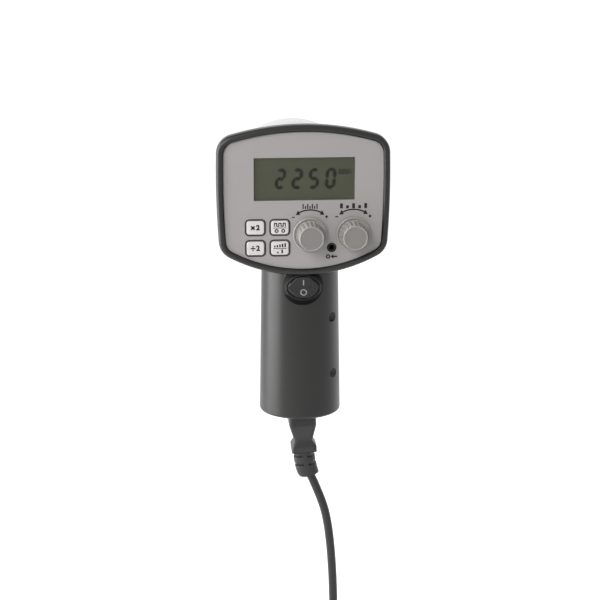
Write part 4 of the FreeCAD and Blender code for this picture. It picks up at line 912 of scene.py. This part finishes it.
@dataclass
class PanelMarks:
    """The printed marks of the panel: frames round the keys, turn arrows, scales and the socket sign."""

    key_width: float = 12.7 * MM
    key_height: float = 10.1 * MM
    key_corner: float = 2.2 * MM
    key_line: float = 1.0 * MM
    key_columns: Flat = (-33.35 * MM, -16.45 * MM)
    key_rows: Flat = (-18.3 * MM, -32.8 * MM)
    knob_columns: Flat = (4.4 * MM, 34.5 * MM)
    knob_row: float = -23.5 * MM
    arc_radius: float = 17.1 * MM
    arc_half: float = math.radians(26.0)
    arc_line: float = 0.95 * MM
    arc_steps: int = 24
    head_length: float = 3.0 * MM
    head_half: float = 1.75 * MM
    head_lean: float = 0.18
    minus_place: Flat = (-11.6 * MM, 12.1 * MM)
    plus_place: Flat = (11.45 * MM, 12.2 * MM)
    sign_reach: float = 1.0 * MM
    sign_line: float = 0.8 * MM
    scale_row: float = -3.9 * MM
    scale_half: float = 1.75 * MM
    scale_tall: float = 2.0
    scale_short: float = 1.2
    fine_scale: tuple[int, float, float] = (7, 1.6 * MM, 0.52)
    coarse_scale: tuple[int, float, float] = (5, 4.2 * MM, 0.46)
    socket_sign: Flat = (19.5 * MM, -39.4 * MM)
    jack_off: float = -2.5 * MM
    jack_radius: float = 1.15 * MM
    jack_line: float = 0.85 * MM
    shaft_off: float = 2.3 * MM
    shaft_length: float = 3.0 * MM
    shaft_line: float = 1.0 * MM
    point_off: float = -0.7 * MM
    barb_off: float = 1.2 * MM
    barb_half: float = 1.6 * MM

    def turn_arrow(self, stencil: Stencil, x: float) -> None:
        """Draw the two-ended arrow above a knob, with its minus and plus signs.

        Args:
            stencil: What to draw on.
            x: The knob's middle.
        """
        stencil.ring((x, self.knob_row), self.arc_radius, self.arc_line, self.arc_steps,
                     math.pi / 2 - self.arc_half, self.arc_half * 2)
        for side in (-1, 1):
            angle = math.pi / 2 - side * self.arc_half
            foot = Vector((math.cos(angle), math.sin(angle)))
            along = Vector((foot.y, -foot.x)) * side
            base = Vector((x, self.knob_row)) + foot * self.arc_radius
            tip = base + along * self.head_length - foot * (self.head_length * self.head_lean)
            stencil.polygon([tuple(tip), tuple(base + foot * self.head_half),
                             tuple(base - foot * self.head_half)][::side])
        stencil.bar((x + self.minus_place[0], self.knob_row + self.minus_place[1]),
                    self.sign_reach * 2, self.sign_line)
        half = self.sign_line / 2
        corners = [(half, self.sign_reach), (-half, self.sign_reach), (-half, half)]
        plus = []
        for _ in range(4):
            plus += corners
            corners = [(-b, a) for a, b in corners]
        stencil.polygon([(x + self.plus_place[0] + a, self.knob_row + self.plus_place[1] + b)
                         for a, b in plus])

    def scales(self, stencil: Stencil) -> None:
        """Draw a scale of narrow steps over the fine knob and of wide steps over the coarse one.

        Args:
            stencil: What to draw on.
        """
        for x, (count, pitch, share) in zip(self.knob_columns, (self.fine_scale, self.coarse_scale)):
            for step in range(count):
                tall = self.scale_half * (self.scale_short if step % 2 else self.scale_tall)
                centre = (x + (step - (count - 1) / 2) * pitch, self.scale_row - self.scale_half + tall / 2)
                stencil.bar(centre, pitch * share, tall)

    def build(self) -> list[bpy.types.Object]:
        """Make the marks.

        Returns:
            The pieces.
        """
        plane = upright(0.0, PANEL_FACE, HEAD_Z)
        frames, marks = Stencil(), Stencil()
        for x in self.key_columns:
            for z in self.key_rows:
                frames.round_frame((x, z), self.key_width + self.key_line * 2,
                                   self.key_height + self.key_line * 2, self.key_corner + self.key_line,
                                   self.key_line)
        for x in self.knob_columns:
            self.turn_arrow(marks, x)
        self.scales(marks)
        x, z = self.socket_sign
        marks.ring((x + self.jack_off, z), self.jack_radius, self.jack_line, self.arc_steps)
        marks.bar((x + self.shaft_off, z), self.shaft_length, self.shaft_line)
        marks.polygon([(x + self.point_off, z), (x + self.barb_off, z - self.barb_half),
                       (x + self.barb_off, z + self.barb_half)])
        return [
            frames.piece("key_frames", Body.HOUSING, "panel_grey", "ink_dark", plane),
            marks.piece("panel_marks", Body.HOUSING, "panel_grey", "ink_black", plane),
        ]


@dataclass
class Display:
    """The clear window and the reading behind it."""

    centre: Flat = (0.5 * MM, 122.2 * MM)
    width: float = 69.2 * MM
    height: float = 29.3 * MM
    glass_face: float = -33.5 * MM
    window_face: float = -34.5 * MM
    window_gap: float = 0.04 * MM
    window_edge: float = 0.25 * MM
    digit_width: float = 7.6 * MM
    digit_height: float = 14.6 * MM
    digit_left: tuple[float, ...] = (-20.1 * MM, -8.6 * MM, 2.8 * MM, 14.4 * MM)
    digit_foot: float = -7.2 * MM
    digit_rise: float = 0.02 * MM
    digit_sink: float = 0.01 * MM
    stroke: float = 2.5 * MM
    gap: float = 0.1 * MM
    slant: float = 0.09
    reading: str = "2250"
    sign_centre: Flat = (27.8 * MM, 4.6 * MM)
    sign_width: float = 8.2 * MM
    sign_height: float = 3.4 * MM
    sign_line: float = 0.75 * MM

    LIT = {
        "0": "abcdef", "1": "bc", "2": "abged", "3": "abgcd", "4": "fgbc", "5": "afgcd", "6": "afgedc",
        "7": "abc", "8": "abcdefg", "9": "abcdfg",
    }
    LEVEL = {"a": (0.5, 2.0), "g": (0.5, 1.0), "d": (0.5, 0.0)}
    STANDING = {"f": (0.0, 1.5), "e": (0.0, 0.5), "b": (1.0, 1.5), "c": (1.0, 0.5)}

    def segment(self, stencil: Stencil, middle: Flat, length: float, level: bool) -> None:
        """Draw one bar of a digit, pointed at both ends.

        Args:
            stencil: What to draw on.
            middle: The bar's middle.
            length: Its length from point to point.
            level: Whether it lies level and doesn't stand.
        """
        half, thin = length / 2, self.stroke / 2
        points = [(-half, 0.0), (-half + thin, -thin), (half - thin, -thin), (half, 0.0),
                  (half - thin, thin), (-half + thin, thin)]
        stencil.polygon([
            (middle[0] + (x if level else -y), middle[1] + (y if level else x)) for x, y in points
        ])

    def reading_piece(self) -> bpy.types.Object:
        """Make the digits and the small pulse sign beside them.

        Returns:
            The piece.
        """
        stencil = Stencil()
        span = self.digit_width - self.stroke
        rise = (self.digit_height - self.stroke) / 2
        foot = self.digit_foot + self.stroke / 2
        for left, digit in zip(self.digit_left, self.reading):
            for name in self.LIT[digit]:
                level = name in self.LEVEL
                across, up = (self.LEVEL if level else self.STANDING)[name]
                middle = (left + self.stroke / 2 + span * across, foot + rise * up)
                self.segment(stencil, middle, (span if level else rise) - self.gap, level)
        stencil.lean(self.slant)
        stencil.pulses(self.sign_centre, self.sign_width, self.sign_height, self.sign_line)
        plane = upright(self.centre[0], self.glass_face, self.centre[1])
        return stencil.piece("display_reading", Body.HOUSING, "display_olive", "segment", plane,
                             self.digit_rise, self.digit_sink)

    def window_piece(self) -> bpy.types.Object:
        """Make the window with its edge eased, just clear of the glass behind.

        Returns:
            The piece.
        """
        mesh = bmesh.new()
        depth = self.glass_face - self.window_gap - self.window_face
        middle = self.window_face + depth / 2
        matrix = (Matrix.Translation((self.centre[0], middle, self.centre[1]))
                  @ Matrix.Diagonal((self.width, depth, self.height, 1.0)))
        bmesh.ops.create_cube(mesh, size=1.0, matrix=matrix)
        front = [edge for edge in mesh.edges if all(vert.co.y < middle for vert in edge.verts)]
        bmesh.ops.bevel(mesh, geom=front, offset=self.window_edge, offset_type="OFFSET", segments=2,
                        profile=0.5, affect="EDGES", material=-1)
        piece = finish_piece("window_pane", mesh, Body.HOUSING, "window_clear")
        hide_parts("display_window")
        return piece

    def build(self) -> list[bpy.types.Object]:
        """Make the pieces and return them."""
        return [self.reading_piece(), self.window_piece()]


@dataclass
class KeyLegends:
    """What is printed on the four keys: plain numbers, a train of pulses and rising bars."""

    face: float = PANEL_FACE - 0.8 * MM
    type_size: float = 4.9 * MM
    bold: float = 0.25 * MM
    side: float = 1.75 * MM
    cross_length: float = 3.5 * MM
    cross_line: float = 1.05 * MM
    divide_length: float = 3.1 * MM
    divide_line: float = 0.95 * MM
    divide_dot: Flat = (1.3 * MM, 0.55 * MM)
    dot_sides: int = 16
    rule_row: float = -0.25 * MM
    rule_width: float = 9.2 * MM
    rule_line: float = 0.45 * MM
    pulse_row: float = 2.0 * MM
    pulse_width: float = 8.2 * MM
    pulse_height: float = 2.7 * MM
    pulse_line: float = 0.7 * MM
    ring_place: Flat = (2.3 * MM, -2.3 * MM)
    ring_radius: float = 1.0 * MM
    ring_line: float = 0.75 * MM
    ring_steps: int = 20
    bar_count: int = 5
    bar_pitch: float = 1.8 * MM
    bar_foot: float = 0.6 * MM
    bar_width: float = 1.05 * MM
    bar_least: float = 1.2 * MM
    bar_growth: float = 0.45 * MM
    mark_place: Flat = (1.5 * MM, -3.6 * MM)
    mark_width: float = 1.1 * MM
    mark_middle: float = 1.9 * MM
    mark_spread: float = 0.8 * MM

    def build(self) -> list[bpy.types.Object]:
        """Make one legend for each key.

        Returns:
            The pieces.
        """
        made = []
        for index, (name, draw) in enumerate((
            ("key_double", self.times_two), ("key_trigger", self.pulse_train),
            ("key_halve", self.half), ("key_range", self.low_and_high),
        )):
            x, z = PanelMarks.key_columns[index % 2], PanelMarks.key_rows[index // 2]
            stencil = Stencil()
            draw(stencil)
            plane = upright(x, self.face, HEAD_Z + z)
            made.append(stencil.piece(f"{name}_legend", BODIES[name], "key_white", "ink_black", plane))
        return made

    def times_two(self, stencil: Stencil) -> None:
        """Draw a multiplication sign and a 2."""
        for turn in (-1, 1):
            stencil.bar((-self.side, 0.0), self.cross_length, self.cross_line, turn * math.pi / 4)
        stencil.words("2", (self.side, 0.0), self.type_size, self.bold)

    def half(self, stencil: Stencil) -> None:
        """Draw a division sign and a 2."""
        stencil.bar((-self.side, 0.0), self.divide_length, self.divide_line)
        for side in (-1, 1):
            stencil.disc((-self.side, side * self.divide_dot[0]), self.divide_dot[1], self.dot_sides)
        stencil.words("2", (self.side, 0.0), self.type_size, self.bold)

    def pulse_train(self, stencil: Stencil) -> None:
        """Draw a train of pulses over a line, and two rings under it."""
        stencil.pulses((0.0, self.pulse_row), self.pulse_width, self.pulse_height, self.pulse_line)
        stencil.bar((0.0, self.rule_row), self.rule_width, self.rule_line)
        for side in (-1, 1):
            stencil.ring((side * self.ring_place[0], self.ring_place[1]), self.ring_radius, self.ring_line,
                         self.ring_steps)

    def low_and_high(self, stencil: Stencil) -> None:
        """Draw rising bars over a line, and a low and a high mark under it.

        Args:
            stencil: What to draw on.
        """
        for step in range(self.bar_count):
            tall = self.bar_least + self.bar_growth * step
            off = (step - (self.bar_count - 1) / 2) * self.bar_pitch
            stencil.bar((off, self.bar_foot + tall / 2), self.bar_width, tall)
        stencil.bar((0.0, self.rule_row), self.rule_width, self.rule_line)
        for side in (-1, 1):
            tall = self.mark_middle + side * self.mark_spread
            stencil.bar((side * self.mark_place[0], self.mark_place[1] + tall / 2), self.mark_width, tall)


@dataclass
class Knob:
    """A fluted knob that stands in the groove of its skirt and has a lip round its darker face."""

    name: str
    x: float
    z: float = 83.5 * MM
    socket_radius: float = 3.0 * MM
    socket_floor: float = 12.5 * MM
    skirt_radius: float = 11.9 * MM
    skirt_low: float = 0.5 * MM
    skirt_high: float = 2.6 * MM
    skirt_edge: float = 0.35 * MM
    skirt_lip: float = 1.2 * MM
    skirt_steps: int = 6
    groove_floor: float = 1.4 * MM
    foot_radius: float = 9.2 * MM
    foot_chamfer: float = 0.3 * MM
    shoulder_radius: float = 8.6 * MM
    wall_levels: tuple[float, ...] = tuple(h * MM for h in (1.8, 2.3, 3.2, 6.0, 9.0, 12.0, 13.0, 13.7))
    shoulder: float = 14.1 * MM
    top: float = 15.8 * MM
    lip: float = 1.2 * MM
    lip_turn: float = math.pi / 12
    lip_steps: int = 9
    dish: float = 0.5 * MM
    inlay_gap: float = 0.05 * MM
    inlay_rise: float = 0.2 * MM
    inlay_sides: int = 72
    sharp: float = 50.0
    flutes: int = 18
    steps: int = 12
    flute_radius: float = 1.15 * MM
    flute_sink: float = 0.75 * MM
    flute_start: float = 0.2 * MM
    flute_over: float = 0.7 * MM
    flute_slack: float = 0.1 * MM
    ease_low: float = 0.9 * MM
    ease_high: float = 0.5 * MM
    ease_least: float = 0.15

    def profile(self) -> list[Flat]:
        """Work out the knob's outline.

        Returns:
            The radius and height of each ring, from the socket's floor round to the top.
        """
        edge, lip = self.skirt_edge, self.skirt_lip
        slope = (self.shoulder_radius - self.foot_radius) / (self.shoulder - self.groove_floor)
        wall = [(self.foot_radius + slope * (h - self.groove_floor), h) for h in self.wall_levels]
        rounding = [
            (self.skirt_radius - lip / 2 * (1 - math.cos(a)), self.skirt_high - lip / 2 * (1 - math.sin(a)))
            for a in (step * math.pi / self.skirt_steps for step in range(self.skirt_steps + 1))
        ]
        crown = [
            (self.shoulder_radius - self.lip / 2 * (1 - math.cos(a)),
             self.shoulder + (self.top - self.shoulder) * math.sin(a))
            for a in (step * self.lip_turn for step in range(1, self.lip_steps + 1))
        ]
        face = self.top - self.dish
        return [
            (0.0, self.socket_floor), (self.socket_radius, self.socket_floor),
            (self.socket_radius, self.skirt_low), (self.skirt_radius - edge, self.skirt_low),
            (self.skirt_radius, self.skirt_low + edge), *rounding,
            (self.skirt_radius - lip, self.groove_floor),
            (self.foot_radius + self.foot_chamfer, self.groove_floor), *wall,
            (self.shoulder_radius, self.shoulder), *crown,
            (self.shoulder_radius - self.lip, face), (0.0, face),
        ]

    def cut_flutes(self, mesh: bmesh.types.BMesh) -> None:
        """Sink the flutes into the wall, shallower towards both ends.

        Args:
            mesh: The plain knob, about the Z axis.
        """
        pitch = math.tau / self.flutes
        start, end = self.groove_floor + self.flute_start, self.shoulder + self.flute_over
        inner, outer = self.shoulder_radius - self.lip, self.foot_radius + self.flute_slack
        for vert in mesh.verts:
            radius = math.hypot(vert.co.x, vert.co.y)
            if not (start < vert.co.z < end and inner < radius < outer):
                continue
            angle = math.atan2(vert.co.y, vert.co.x) % pitch
            off = min(angle, pitch - angle) * radius
            sunk = math.sqrt(max(self.flute_radius**2 - off**2, 0.0)) - (self.flute_radius - self.flute_sink)
            ease = min(1.0, (vert.co.z - start) / self.ease_low + self.ease_least,
                       (end - vert.co.z) / self.ease_high)
            if sunk > 0.0:
                shrink = (radius - sunk * ease) / radius
                vert.co.x *= shrink
                vert.co.y *= shrink

    def inlay(self) -> bpy.types.Object:
        """Make the darker disc let into the knob's face."""
        plane = upright(self.x, PANEL_FACE - self.top + self.dish, self.z)
        radius = self.shoulder_radius - self.lip - self.inlay_gap
        disc = Stencil().disc((0.0, 0.0), radius, self.inlay_sides)
        return disc.piece(f"{self.name}_inlay", BODIES[self.name], "knob_grey", "knob_face", plane,
                          self.inlay_rise)

    def build(self) -> list[bpy.types.Object]:
        """Make the knob and its inlay.

        Returns:
            The pieces.
        """
        mesh = bmesh.new()
        verts = [mesh.verts.new((r, 0.0, h)) for r, h in self.profile()]
        edges = [mesh.edges.new(pair) for pair in zip(verts, verts[1:])]
        bmesh.ops.spin(mesh, geom=[*verts, *edges], cent=(0.0, 0.0, 0.0), axis=(0.0, 0.0, 1.0),
                       angle=math.tau, steps=self.flutes * self.steps, use_merge=True)
        bmesh.ops.remove_doubles(mesh, verts=mesh.verts, dist=WELD_DISTANCE)
        self.cut_flutes(mesh)
        bmesh.ops.transform(mesh, matrix=upright(self.x, PANEL_FACE, self.z), verts=mesh.verts)
        piece = finish_piece(f"{self.name}_cap", mesh, BODIES[self.name], "knob_grey", sharp=self.sharp)
        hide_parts(self.name)
        return [piece, self.inlay()]


@dataclass
class SwitchMarks:
    """The line and the ring printed on the rocker, which rests with its line pressed in."""

    pivot_y: float = -31.1 * MM
    rest: float = math.radians(-8.0)
    half_tip: float = math.radians(8.0)
    tip_lift: float = 4.1 * MM
    tip_reach: float = 7.3 * MM
    mark_reach: float = 3.4 * MM
    line_width: float = 0.8 * MM
    line_height: float = 3.8 * MM
    ring_radius: float = 1.85 * MM
    ring_line: float = 0.65 * MM
    ring_spread: float = 1.1
    ring_steps: int = 36

    def face(self, side: int) -> Matrix:
        """Return the plane of one half of the rocker's face, at its mark.

        Args:
            side: 1 for the upper half and -1 for the lower.

        Returns:
            The plane's matrix.
        """
        slope = math.tan(self.half_tip)
        lift = self.tip_lift - (self.tip_reach - self.mark_reach) * slope
        return (Matrix.Translation((0.0, self.pivot_y, SWITCH_Z)) @ Matrix.Rotation(self.rest, 4, "X")
                @ upright(0.0, -lift, side * self.mark_reach, side * self.half_tip))

    def build(self) -> list[bpy.types.Object]:
        """Make the marks on the two halves of the rocker.

        Returns:
            The pieces.
        """
        line = Stencil().bar((0.0, 0.0), self.line_width, self.line_height)
        ring = Stencil().ring((0.0, 0.0), self.ring_radius, self.ring_line, self.ring_steps)
        ring.widen(self.ring_spread)
        return [
            line.piece("rocker_line", Body.ROCKER, "switch_black", "ink_white", self.face(1)),
            ring.piece("rocker_ring", Body.ROCKER, "switch_black", "ink_white", self.face(-1)),
        ]


@dataclass
class SwitchRing:
    """The glossy oval ring of the power switch, a true ellipse with a round edge."""

    half_width: float = 12.35 * MM
    half_height: float = 9.4 * MM
    thickness: float = 0.4 * MM
    rise: float = 0.15 * MM
    sides: int = 12
    steps: int = 72
    sharp: float = 80.0

    def build(self) -> bpy.types.Object:
        """Make the ring on the front of the switch.

        Returns:
            The piece.
        """
        mesh = bmesh.new()
        reach = self.half_width - self.thickness
        section = (Matrix.Translation((reach, 0.0, 0.0))
                   @ Matrix.Diagonal((self.thickness, self.thickness, 1.0, 1.0)))
        bmesh.ops.create_circle(mesh, radius=1.0, segments=self.sides, matrix=section)
        bmesh.ops.spin(mesh, geom=[*mesh.verts, *mesh.edges], cent=(0.0, 0.0, 0.0), axis=(0.0, 1.0, 0.0),
                       angle=math.tau, steps=self.steps, use_merge=True)
        bmesh.ops.remove_doubles(mesh, verts=mesh.verts, dist=WELD_DISTANCE)
        share = (self.half_height - self.thickness) / reach
        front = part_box("power_switch")[0][1] + self.thickness - self.rise
        place = Matrix.Translation((0.0, front, SWITCH_Z)) @ Matrix.Diagonal((1.0, 1.0, share, 1.0))
        bmesh.ops.transform(mesh, matrix=place, verts=mesh.verts)
        return finish_piece("switch_ring", mesh, Body.HOUSING, "switch_black", sharp=self.sharp)


@dataclass
class SwitchFlankShade:
    """Painted shade laid as a thin skin on the flank of the boss round the power switch, above or below a
    level: below it a near-black painted shadow under the switch, and above it a dull skin that darkens the
    flank's reflections.
    """

    name: str
    finish: str
    upper: bool
    front: float = -31.38 * MM
    foot: float = -27.3 * MM
    half_width: float = 14.6 * MM
    low: float = 30.9 * MM
    high: float = 54.0 * MM
    level: float = 39.4 * MM
    thickness: float = 0.08 * MM
    slope: Flat = (-0.97, -0.1)

    def on_flank(self, face: bmesh.types.BMFace) -> bool:
        """Tell whether a face of the case belongs to the boss's flank.

        Args:
            face: The face.

        Returns:
            True where all of it lies on the flank.
        """
        points = [vert.co for vert in face.verts]
        inside = all(
            self.front - INK_RISE < point.y < self.foot and abs(point.x) < self.half_width
            and self.low < point.z < self.high for point in points
        )
        on_grip = all(GRIP_ROUND.facing(point) is not None for point in points)
        return inside and not on_grip and self.slope[0] < face.normal.y < self.slope[1]

    def build(self) -> bpy.types.Object:
        """Make the painted shade as a thin skin on the case's flank.

        Returns:
            The piece.
        """
        mesh = bmesh.new()
        for node in ("left_case_half", "right_case_half"):
            mesh.from_mesh(frame["nodes"][node].data)
        far = [face for face in mesh.faces if not self.on_flank(face)]
        bmesh.ops.delete(mesh, geom=far, context="FACES")
        bmesh.ops.remove_doubles(mesh, verts=mesh.verts, dist=MERGE_DISTANCE)
        bmesh.ops.bisect_plane(mesh, geom=[*mesh.verts, *mesh.edges, *mesh.faces],
                               plane_co=(0.0, 0.0, self.level), plane_no=(0.0, 0.0, 1.0),
                               clear_outer=not self.upper, clear_inner=self.upper)
        bmesh.ops.solidify(mesh, geom=list(mesh.faces), thickness=-self.thickness)
        return finish_piece(self.name, mesh, Body.HOUSING, "case_black", self.finish)


@dataclass
class TriggerWire:
    """The bare wire wound round the bent flash tube, which starts its flash."""

    tube_radius: float = 2.7 * MM
    wire_radius: float = 0.22 * MM
    bend_radius: float = 7.5 * MM
    leg: float = 17.0 * MM
    pitch: float = 3.4 * MM
    points_per_turn: int = 12
    sides: int = 2

    def middle(self, run: float, foot: float) -> tuple[Vector, Vector]:
        """Return a point of the tube's centre line and the way across it.

        Args:
            run: How far along the tube the point is.
            foot: Where the tube's legs start, along Y.

        Returns:
            The point, and the outward direction in the tube's plane.
        """
        bend = math.pi * self.bend_radius
        if run < self.leg:
            return Vector((-self.bend_radius, foot + run, LAMP_Z)), Vector((-1.0, 0.0, 0.0))
        if run > self.leg + bend:
            back = foot + self.leg * 2 + bend - run
            return Vector((self.bend_radius, back, LAMP_Z)), Vector((1.0, 0.0, 0.0))
        turn = (run - self.leg) / self.bend_radius
        out = Vector((-math.cos(turn), math.sin(turn), 0.0))
        return Vector((0.0, foot + self.leg, LAMP_Z)) + out * self.bend_radius, out

    def build(self) -> bpy.types.Object:
        """Make the wire.

        Returns:
            The piece.
        """
        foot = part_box("flash_tube")[0][1]
        total = self.leg * 2 + math.pi * self.bend_radius - self.pitch
        count = int(total / self.pitch * self.points_per_turn)
        reach = self.tube_radius + self.wire_radius
        points = []
        for index in range(count + 1):
            run = self.pitch / 2 + total * index / count
            centre, out = self.middle(run, foot)
            angle = math.tau * run / self.pitch
            rise = Vector((0.0, 0.0, reach * math.sin(angle)))
            points.append(centre + out * (reach * math.cos(angle)) + rise)
        return tube("trigger_wire", "POLY", points, self.wire_radius, "steel", self.sides, 1)


def dress_nodes() -> None:
    """Give every CAD node that shows as it is the material of its slot."""
    for name, node in frame["nodes"].items():
        node.data.materials.clear()
        node.data.materials.append(PALETTE[SLOTS[name]])


# The mains lead


@dataclass
class Lead:
    """The mains lead: down from the strain relief, along the floor, a neat coil and the plug."""

    radius: float = 3.15 * MM
    length: float = 1.82
    exit: Point = (0.00778, 0.0, -0.10363)
    exit_way: Point = (0.4067, 0.0, -0.9135)
    first_run: float = 0.018
    route: tuple[Point, ...] = (
        (0.0206, -0.0006, -0.139),
        (0.0240, -0.0014, -0.172),
        (0.0254, -0.0018, -0.214),
        (0.0250, 0.0004, -0.254),
        (0.0242, 0.0080, -0.287),
        (0.0238, 0.0250, -0.310),
        (0.0241, 0.0440, -0.323),
        (0.02456, 0.0627, -0.3255),
    )
    tail: tuple[Point, ...] = (
        (-0.07215, 0.0797, -0.3183),
        (-0.07251, 0.0647, -0.3183),
        (-0.06868, 0.0461, -0.3183),
        (-0.06291, 0.03225, -0.3183),
    )
    coil_centre: Flat = (-0.024, 0.086)
    coil_outer: float = 0.048
    coil_spacing: float = 0.0072
    coil_turns: int = 3
    coil_level: float = -0.3255
    middle_weight: float = 0.75
    steps: int = 16
    sides: int = 6
    fineness: int = 6

    def coil_points(self) -> list[Vector]:
        """Work out the control points of the coil's turns.

        Returns:
            The points, a little outside the line so that the smooth line has the coil's size.
        """
        layer = self.coil_turns * math.tau
        slope = self.coil_spacing / math.tau
        inner = self.coil_outer - slope * layer
        total = layer * 2 + math.pi
        count = int(round(total / math.tau * self.steps))
        near = 1.0 - self.middle_weight
        bulge = 1.0 / (self.middle_weight + near * math.cos(math.tau / self.steps))
        points = []
        for step in range(count + 1):
            angle = total * step / count
            if angle <= layer:
                radius, rise = self.coil_outer - slope * angle, 0.0
            elif angle >= layer + math.pi:
                radius, rise = inner + slope * (angle - layer - math.pi), self.coil_spacing
            else:
                turned = angle - layer
                radius = inner - slope * turned + slope * turned**2 / math.pi
                rise = self.coil_spacing * (1 - math.cos(turned)) / 2
            radius *= bulge
            points.append(Vector((
                self.coil_centre[0] + radius * math.cos(angle),
                self.coil_centre[1] + radius * math.sin(angle),
                self.coil_level + rise,
            )))
        return points

    def points(self) -> list[Vector]:
        """Gather the control points of the lead.

        Returns:
            The points in order, from the strain relief to the plug.
        """
        start = Vector(self.exit)
        return [
            start, start + Vector(self.exit_way) * self.first_run,
            *(Vector(point) for point in self.route),
            *self.coil_points(),
            *(Vector(point) for point in self.tail),
        ]

    def build(self) -> bpy.types.Object:
        """Returns:
            The piece.
        """
        piece = tube("mains_lead", "NURBS", self.points(), self.radius, "cord_black", self.sides,
                     self.fineness)
        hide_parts("cord_run", "cord_coil", "cord_tail")
        return piece


# Studio


@dataclass(frozen=True)
class Softbox:
    """A soft rectangular lamp: where it stands, what it faces, its size and its power in watts."""

    name: str
    place: Point
    aim: Point
    size: Flat
    power: float


@dataclass
class Studio:
    """The white floor, the soft light and the camera at the photograph's angle."""

    azimuth: float = -4.5
    elevation: float = 14.0
    distance: float = 1.3
    target: Point = (0.000211, 0.0, 0.02817)
    focal_pixels: float = 1815.0
    frame_pixels: float = 600.0
    sensor: float = 36.0
    clip: Flat = (0.05, 50.0)
    world_light: float = 0.42
    floor_half: float = 14.0
    floor_shade: float = 0.8
    floor_roughness: float = 0.95
    floor_glow: float = 0.72
    softboxes: tuple[Softbox, ...] = (
        Softbox("left_softbox", (-1.1, -0.03, 0.1), (0.0, 0.0, 0.0), (1.0, 1.3), 23.0),
        Softbox("right_softbox", (1.1, 0.5, 0.1), (0.0, 0.0, 0.0), (0.3, 1.3), 0.7),
        Softbox("top_softbox", (-0.8, -1.2, 0.95), (0.0, 0.0, 0.05), (0.7, 0.7), 13.6),
    )

    def stand(self, name: str, data: Union[bpy.types.Camera, bpy.types.Light], place: Vector,
              way: Vector) -> bpy.types.Object:
        """Set up the camera or a lamp.

        Args:
            name: Its name.
            data: The camera or the lamp.
            place: Where it stands.
            way: The way that it looks.

        Returns:
            The object in the scene.
        """
        holder = bpy.data.objects.new(name, data)
        bpy.context.scene.collection.objects.link(holder)
        holder.location = place
        holder.rotation_mode = "QUATERNION"
        holder.rotation_quaternion = way.to_track_quat("-Z", "Y")
        return holder

    def camera(self) -> None:
        """Make the camera."""
        data = bpy.data.cameras.new("camera")
        data.sensor_width = self.sensor
        data.lens = self.focal_pixels / self.frame_pixels * self.sensor
        data.clip_start, data.clip_end = self.clip
        turn, lift = math.radians(self.azimuth), math.radians(self.elevation)
        back = Vector((math.sin(turn) * math.cos(lift), -math.cos(turn) * math.cos(lift), math.sin(lift)))
        place = Vector(self.target) + back * self.distance
        bpy.context.scene.camera = self.stand("camera", data, place, -back)

    def seen(self, tree: bpy.types.NodeTree) -> Wire:
        """Return 1 where a ray comes from the camera, a reflection or through glass."""
        path = tree.nodes.new("ShaderNodeLightPath")
        camera, glossy, through = (
            Wire(tree, path.outputs[f"Is {kind} Ray"]) for kind in ("Camera", "Glossy", "Transmission")
        )
        return (camera + glossy + through).hold(0.0, 1.0)

    def world(self) -> None:
        """Light the scene evenly, with a plain white behind it."""
        world = bpy.data.worlds.new("studio")
        world.use_nodes = True
        bpy.context.scene.world = world
        tree = world.node_tree
        background = next(n for n in tree.nodes if n.type == "BACKGROUND")
        background.inputs["Color"].default_value = (1.0, 1.0, 1.0, 1.0)
        strength = self.seen(tree) * (1.0 - self.world_light) + self.world_light
        tree.links.new(strength.socket, background.inputs["Strength"])

    def floor(self) -> None:
        """Lay the floor: white as the camera sees it, but for the object's shadow."""
        mesh = bmesh.new()
        bmesh.ops.create_grid(mesh, x_segments=2, y_segments=2, size=self.floor_half,
                              matrix=Matrix.Translation((0.0, 0.0, GROUND_Z)))
        data = bpy.data.meshes.new("floor")
        mesh.to_mesh(data)
        mesh.free()
        paint = Paint("floor_white", Base_Color=grey(self.floor_shade), Roughness=self.floor_roughness,
                      Specular_IOR_Level=0.0, Emission_Strength=self.floor_glow)
        paint.feed("Emission Color", paint.blend(self.seen(paint.tree), grey(0.0), grey(1.0)))
        data.materials.append(paint.material)
        floor = bpy.data.objects.new("floor", data)
        bpy.context.scene.collection.objects.link(floor)

    def lamp(self, box: Softbox) -> None:
        """Set up one soft lamp."""
        data = bpy.data.lights.new(box.name, "AREA")
        data.shape = "RECTANGLE"
        data.size, data.size_y = box.size
        data.energy = box.power
        self.stand(box.name, data, Vector(box.place), Vector(box.aim) - Vector(box.place))

    def build(self) -> None:
        """Set up the camera, the world, the floor and the lamps."""
        self.camera()
        self.world()
        self.floor()
        for box in self.softboxes:
            self.lamp(box)


def main() -> None:
    """Build the pieces in order and report each."""
    bpy.context.scene.view_settings.view_transform = "Standard"
    Studio().build()
    dress_nodes()
    made = [refined.build() for refined in REFINED]
    made += [*PanelMarks().build(), *Display().build(), *KeyLegends().build()]
    for name, column in zip(("fine_knob", "coarse_knob"), PanelMarks.knob_columns):
        made += Knob(name, column).build()
    made += [
        *SwitchMarks().build(), SwitchRing().build(),
        # Painted shade over the boss's flank: the painted shadow under the switch, and the dull painted
        # shade above it.
        SwitchFlankShade("switch_painted_shadow", "painted_shadow_black", False).build(),
        SwitchFlankShade("switch_painted_shade", "painted_shade_dull", True).build(),
    ]
    for piece in made:
        LOG.info("%s: %d faces", piece.name, len(piece.data.polygons))
    for wound in (TriggerWire().build(), Lead().build()):
        LOG.info("%s: %d control points", wound.name, len(wound.data.splines[0].points))


if __name__ == "__main__":
    main()
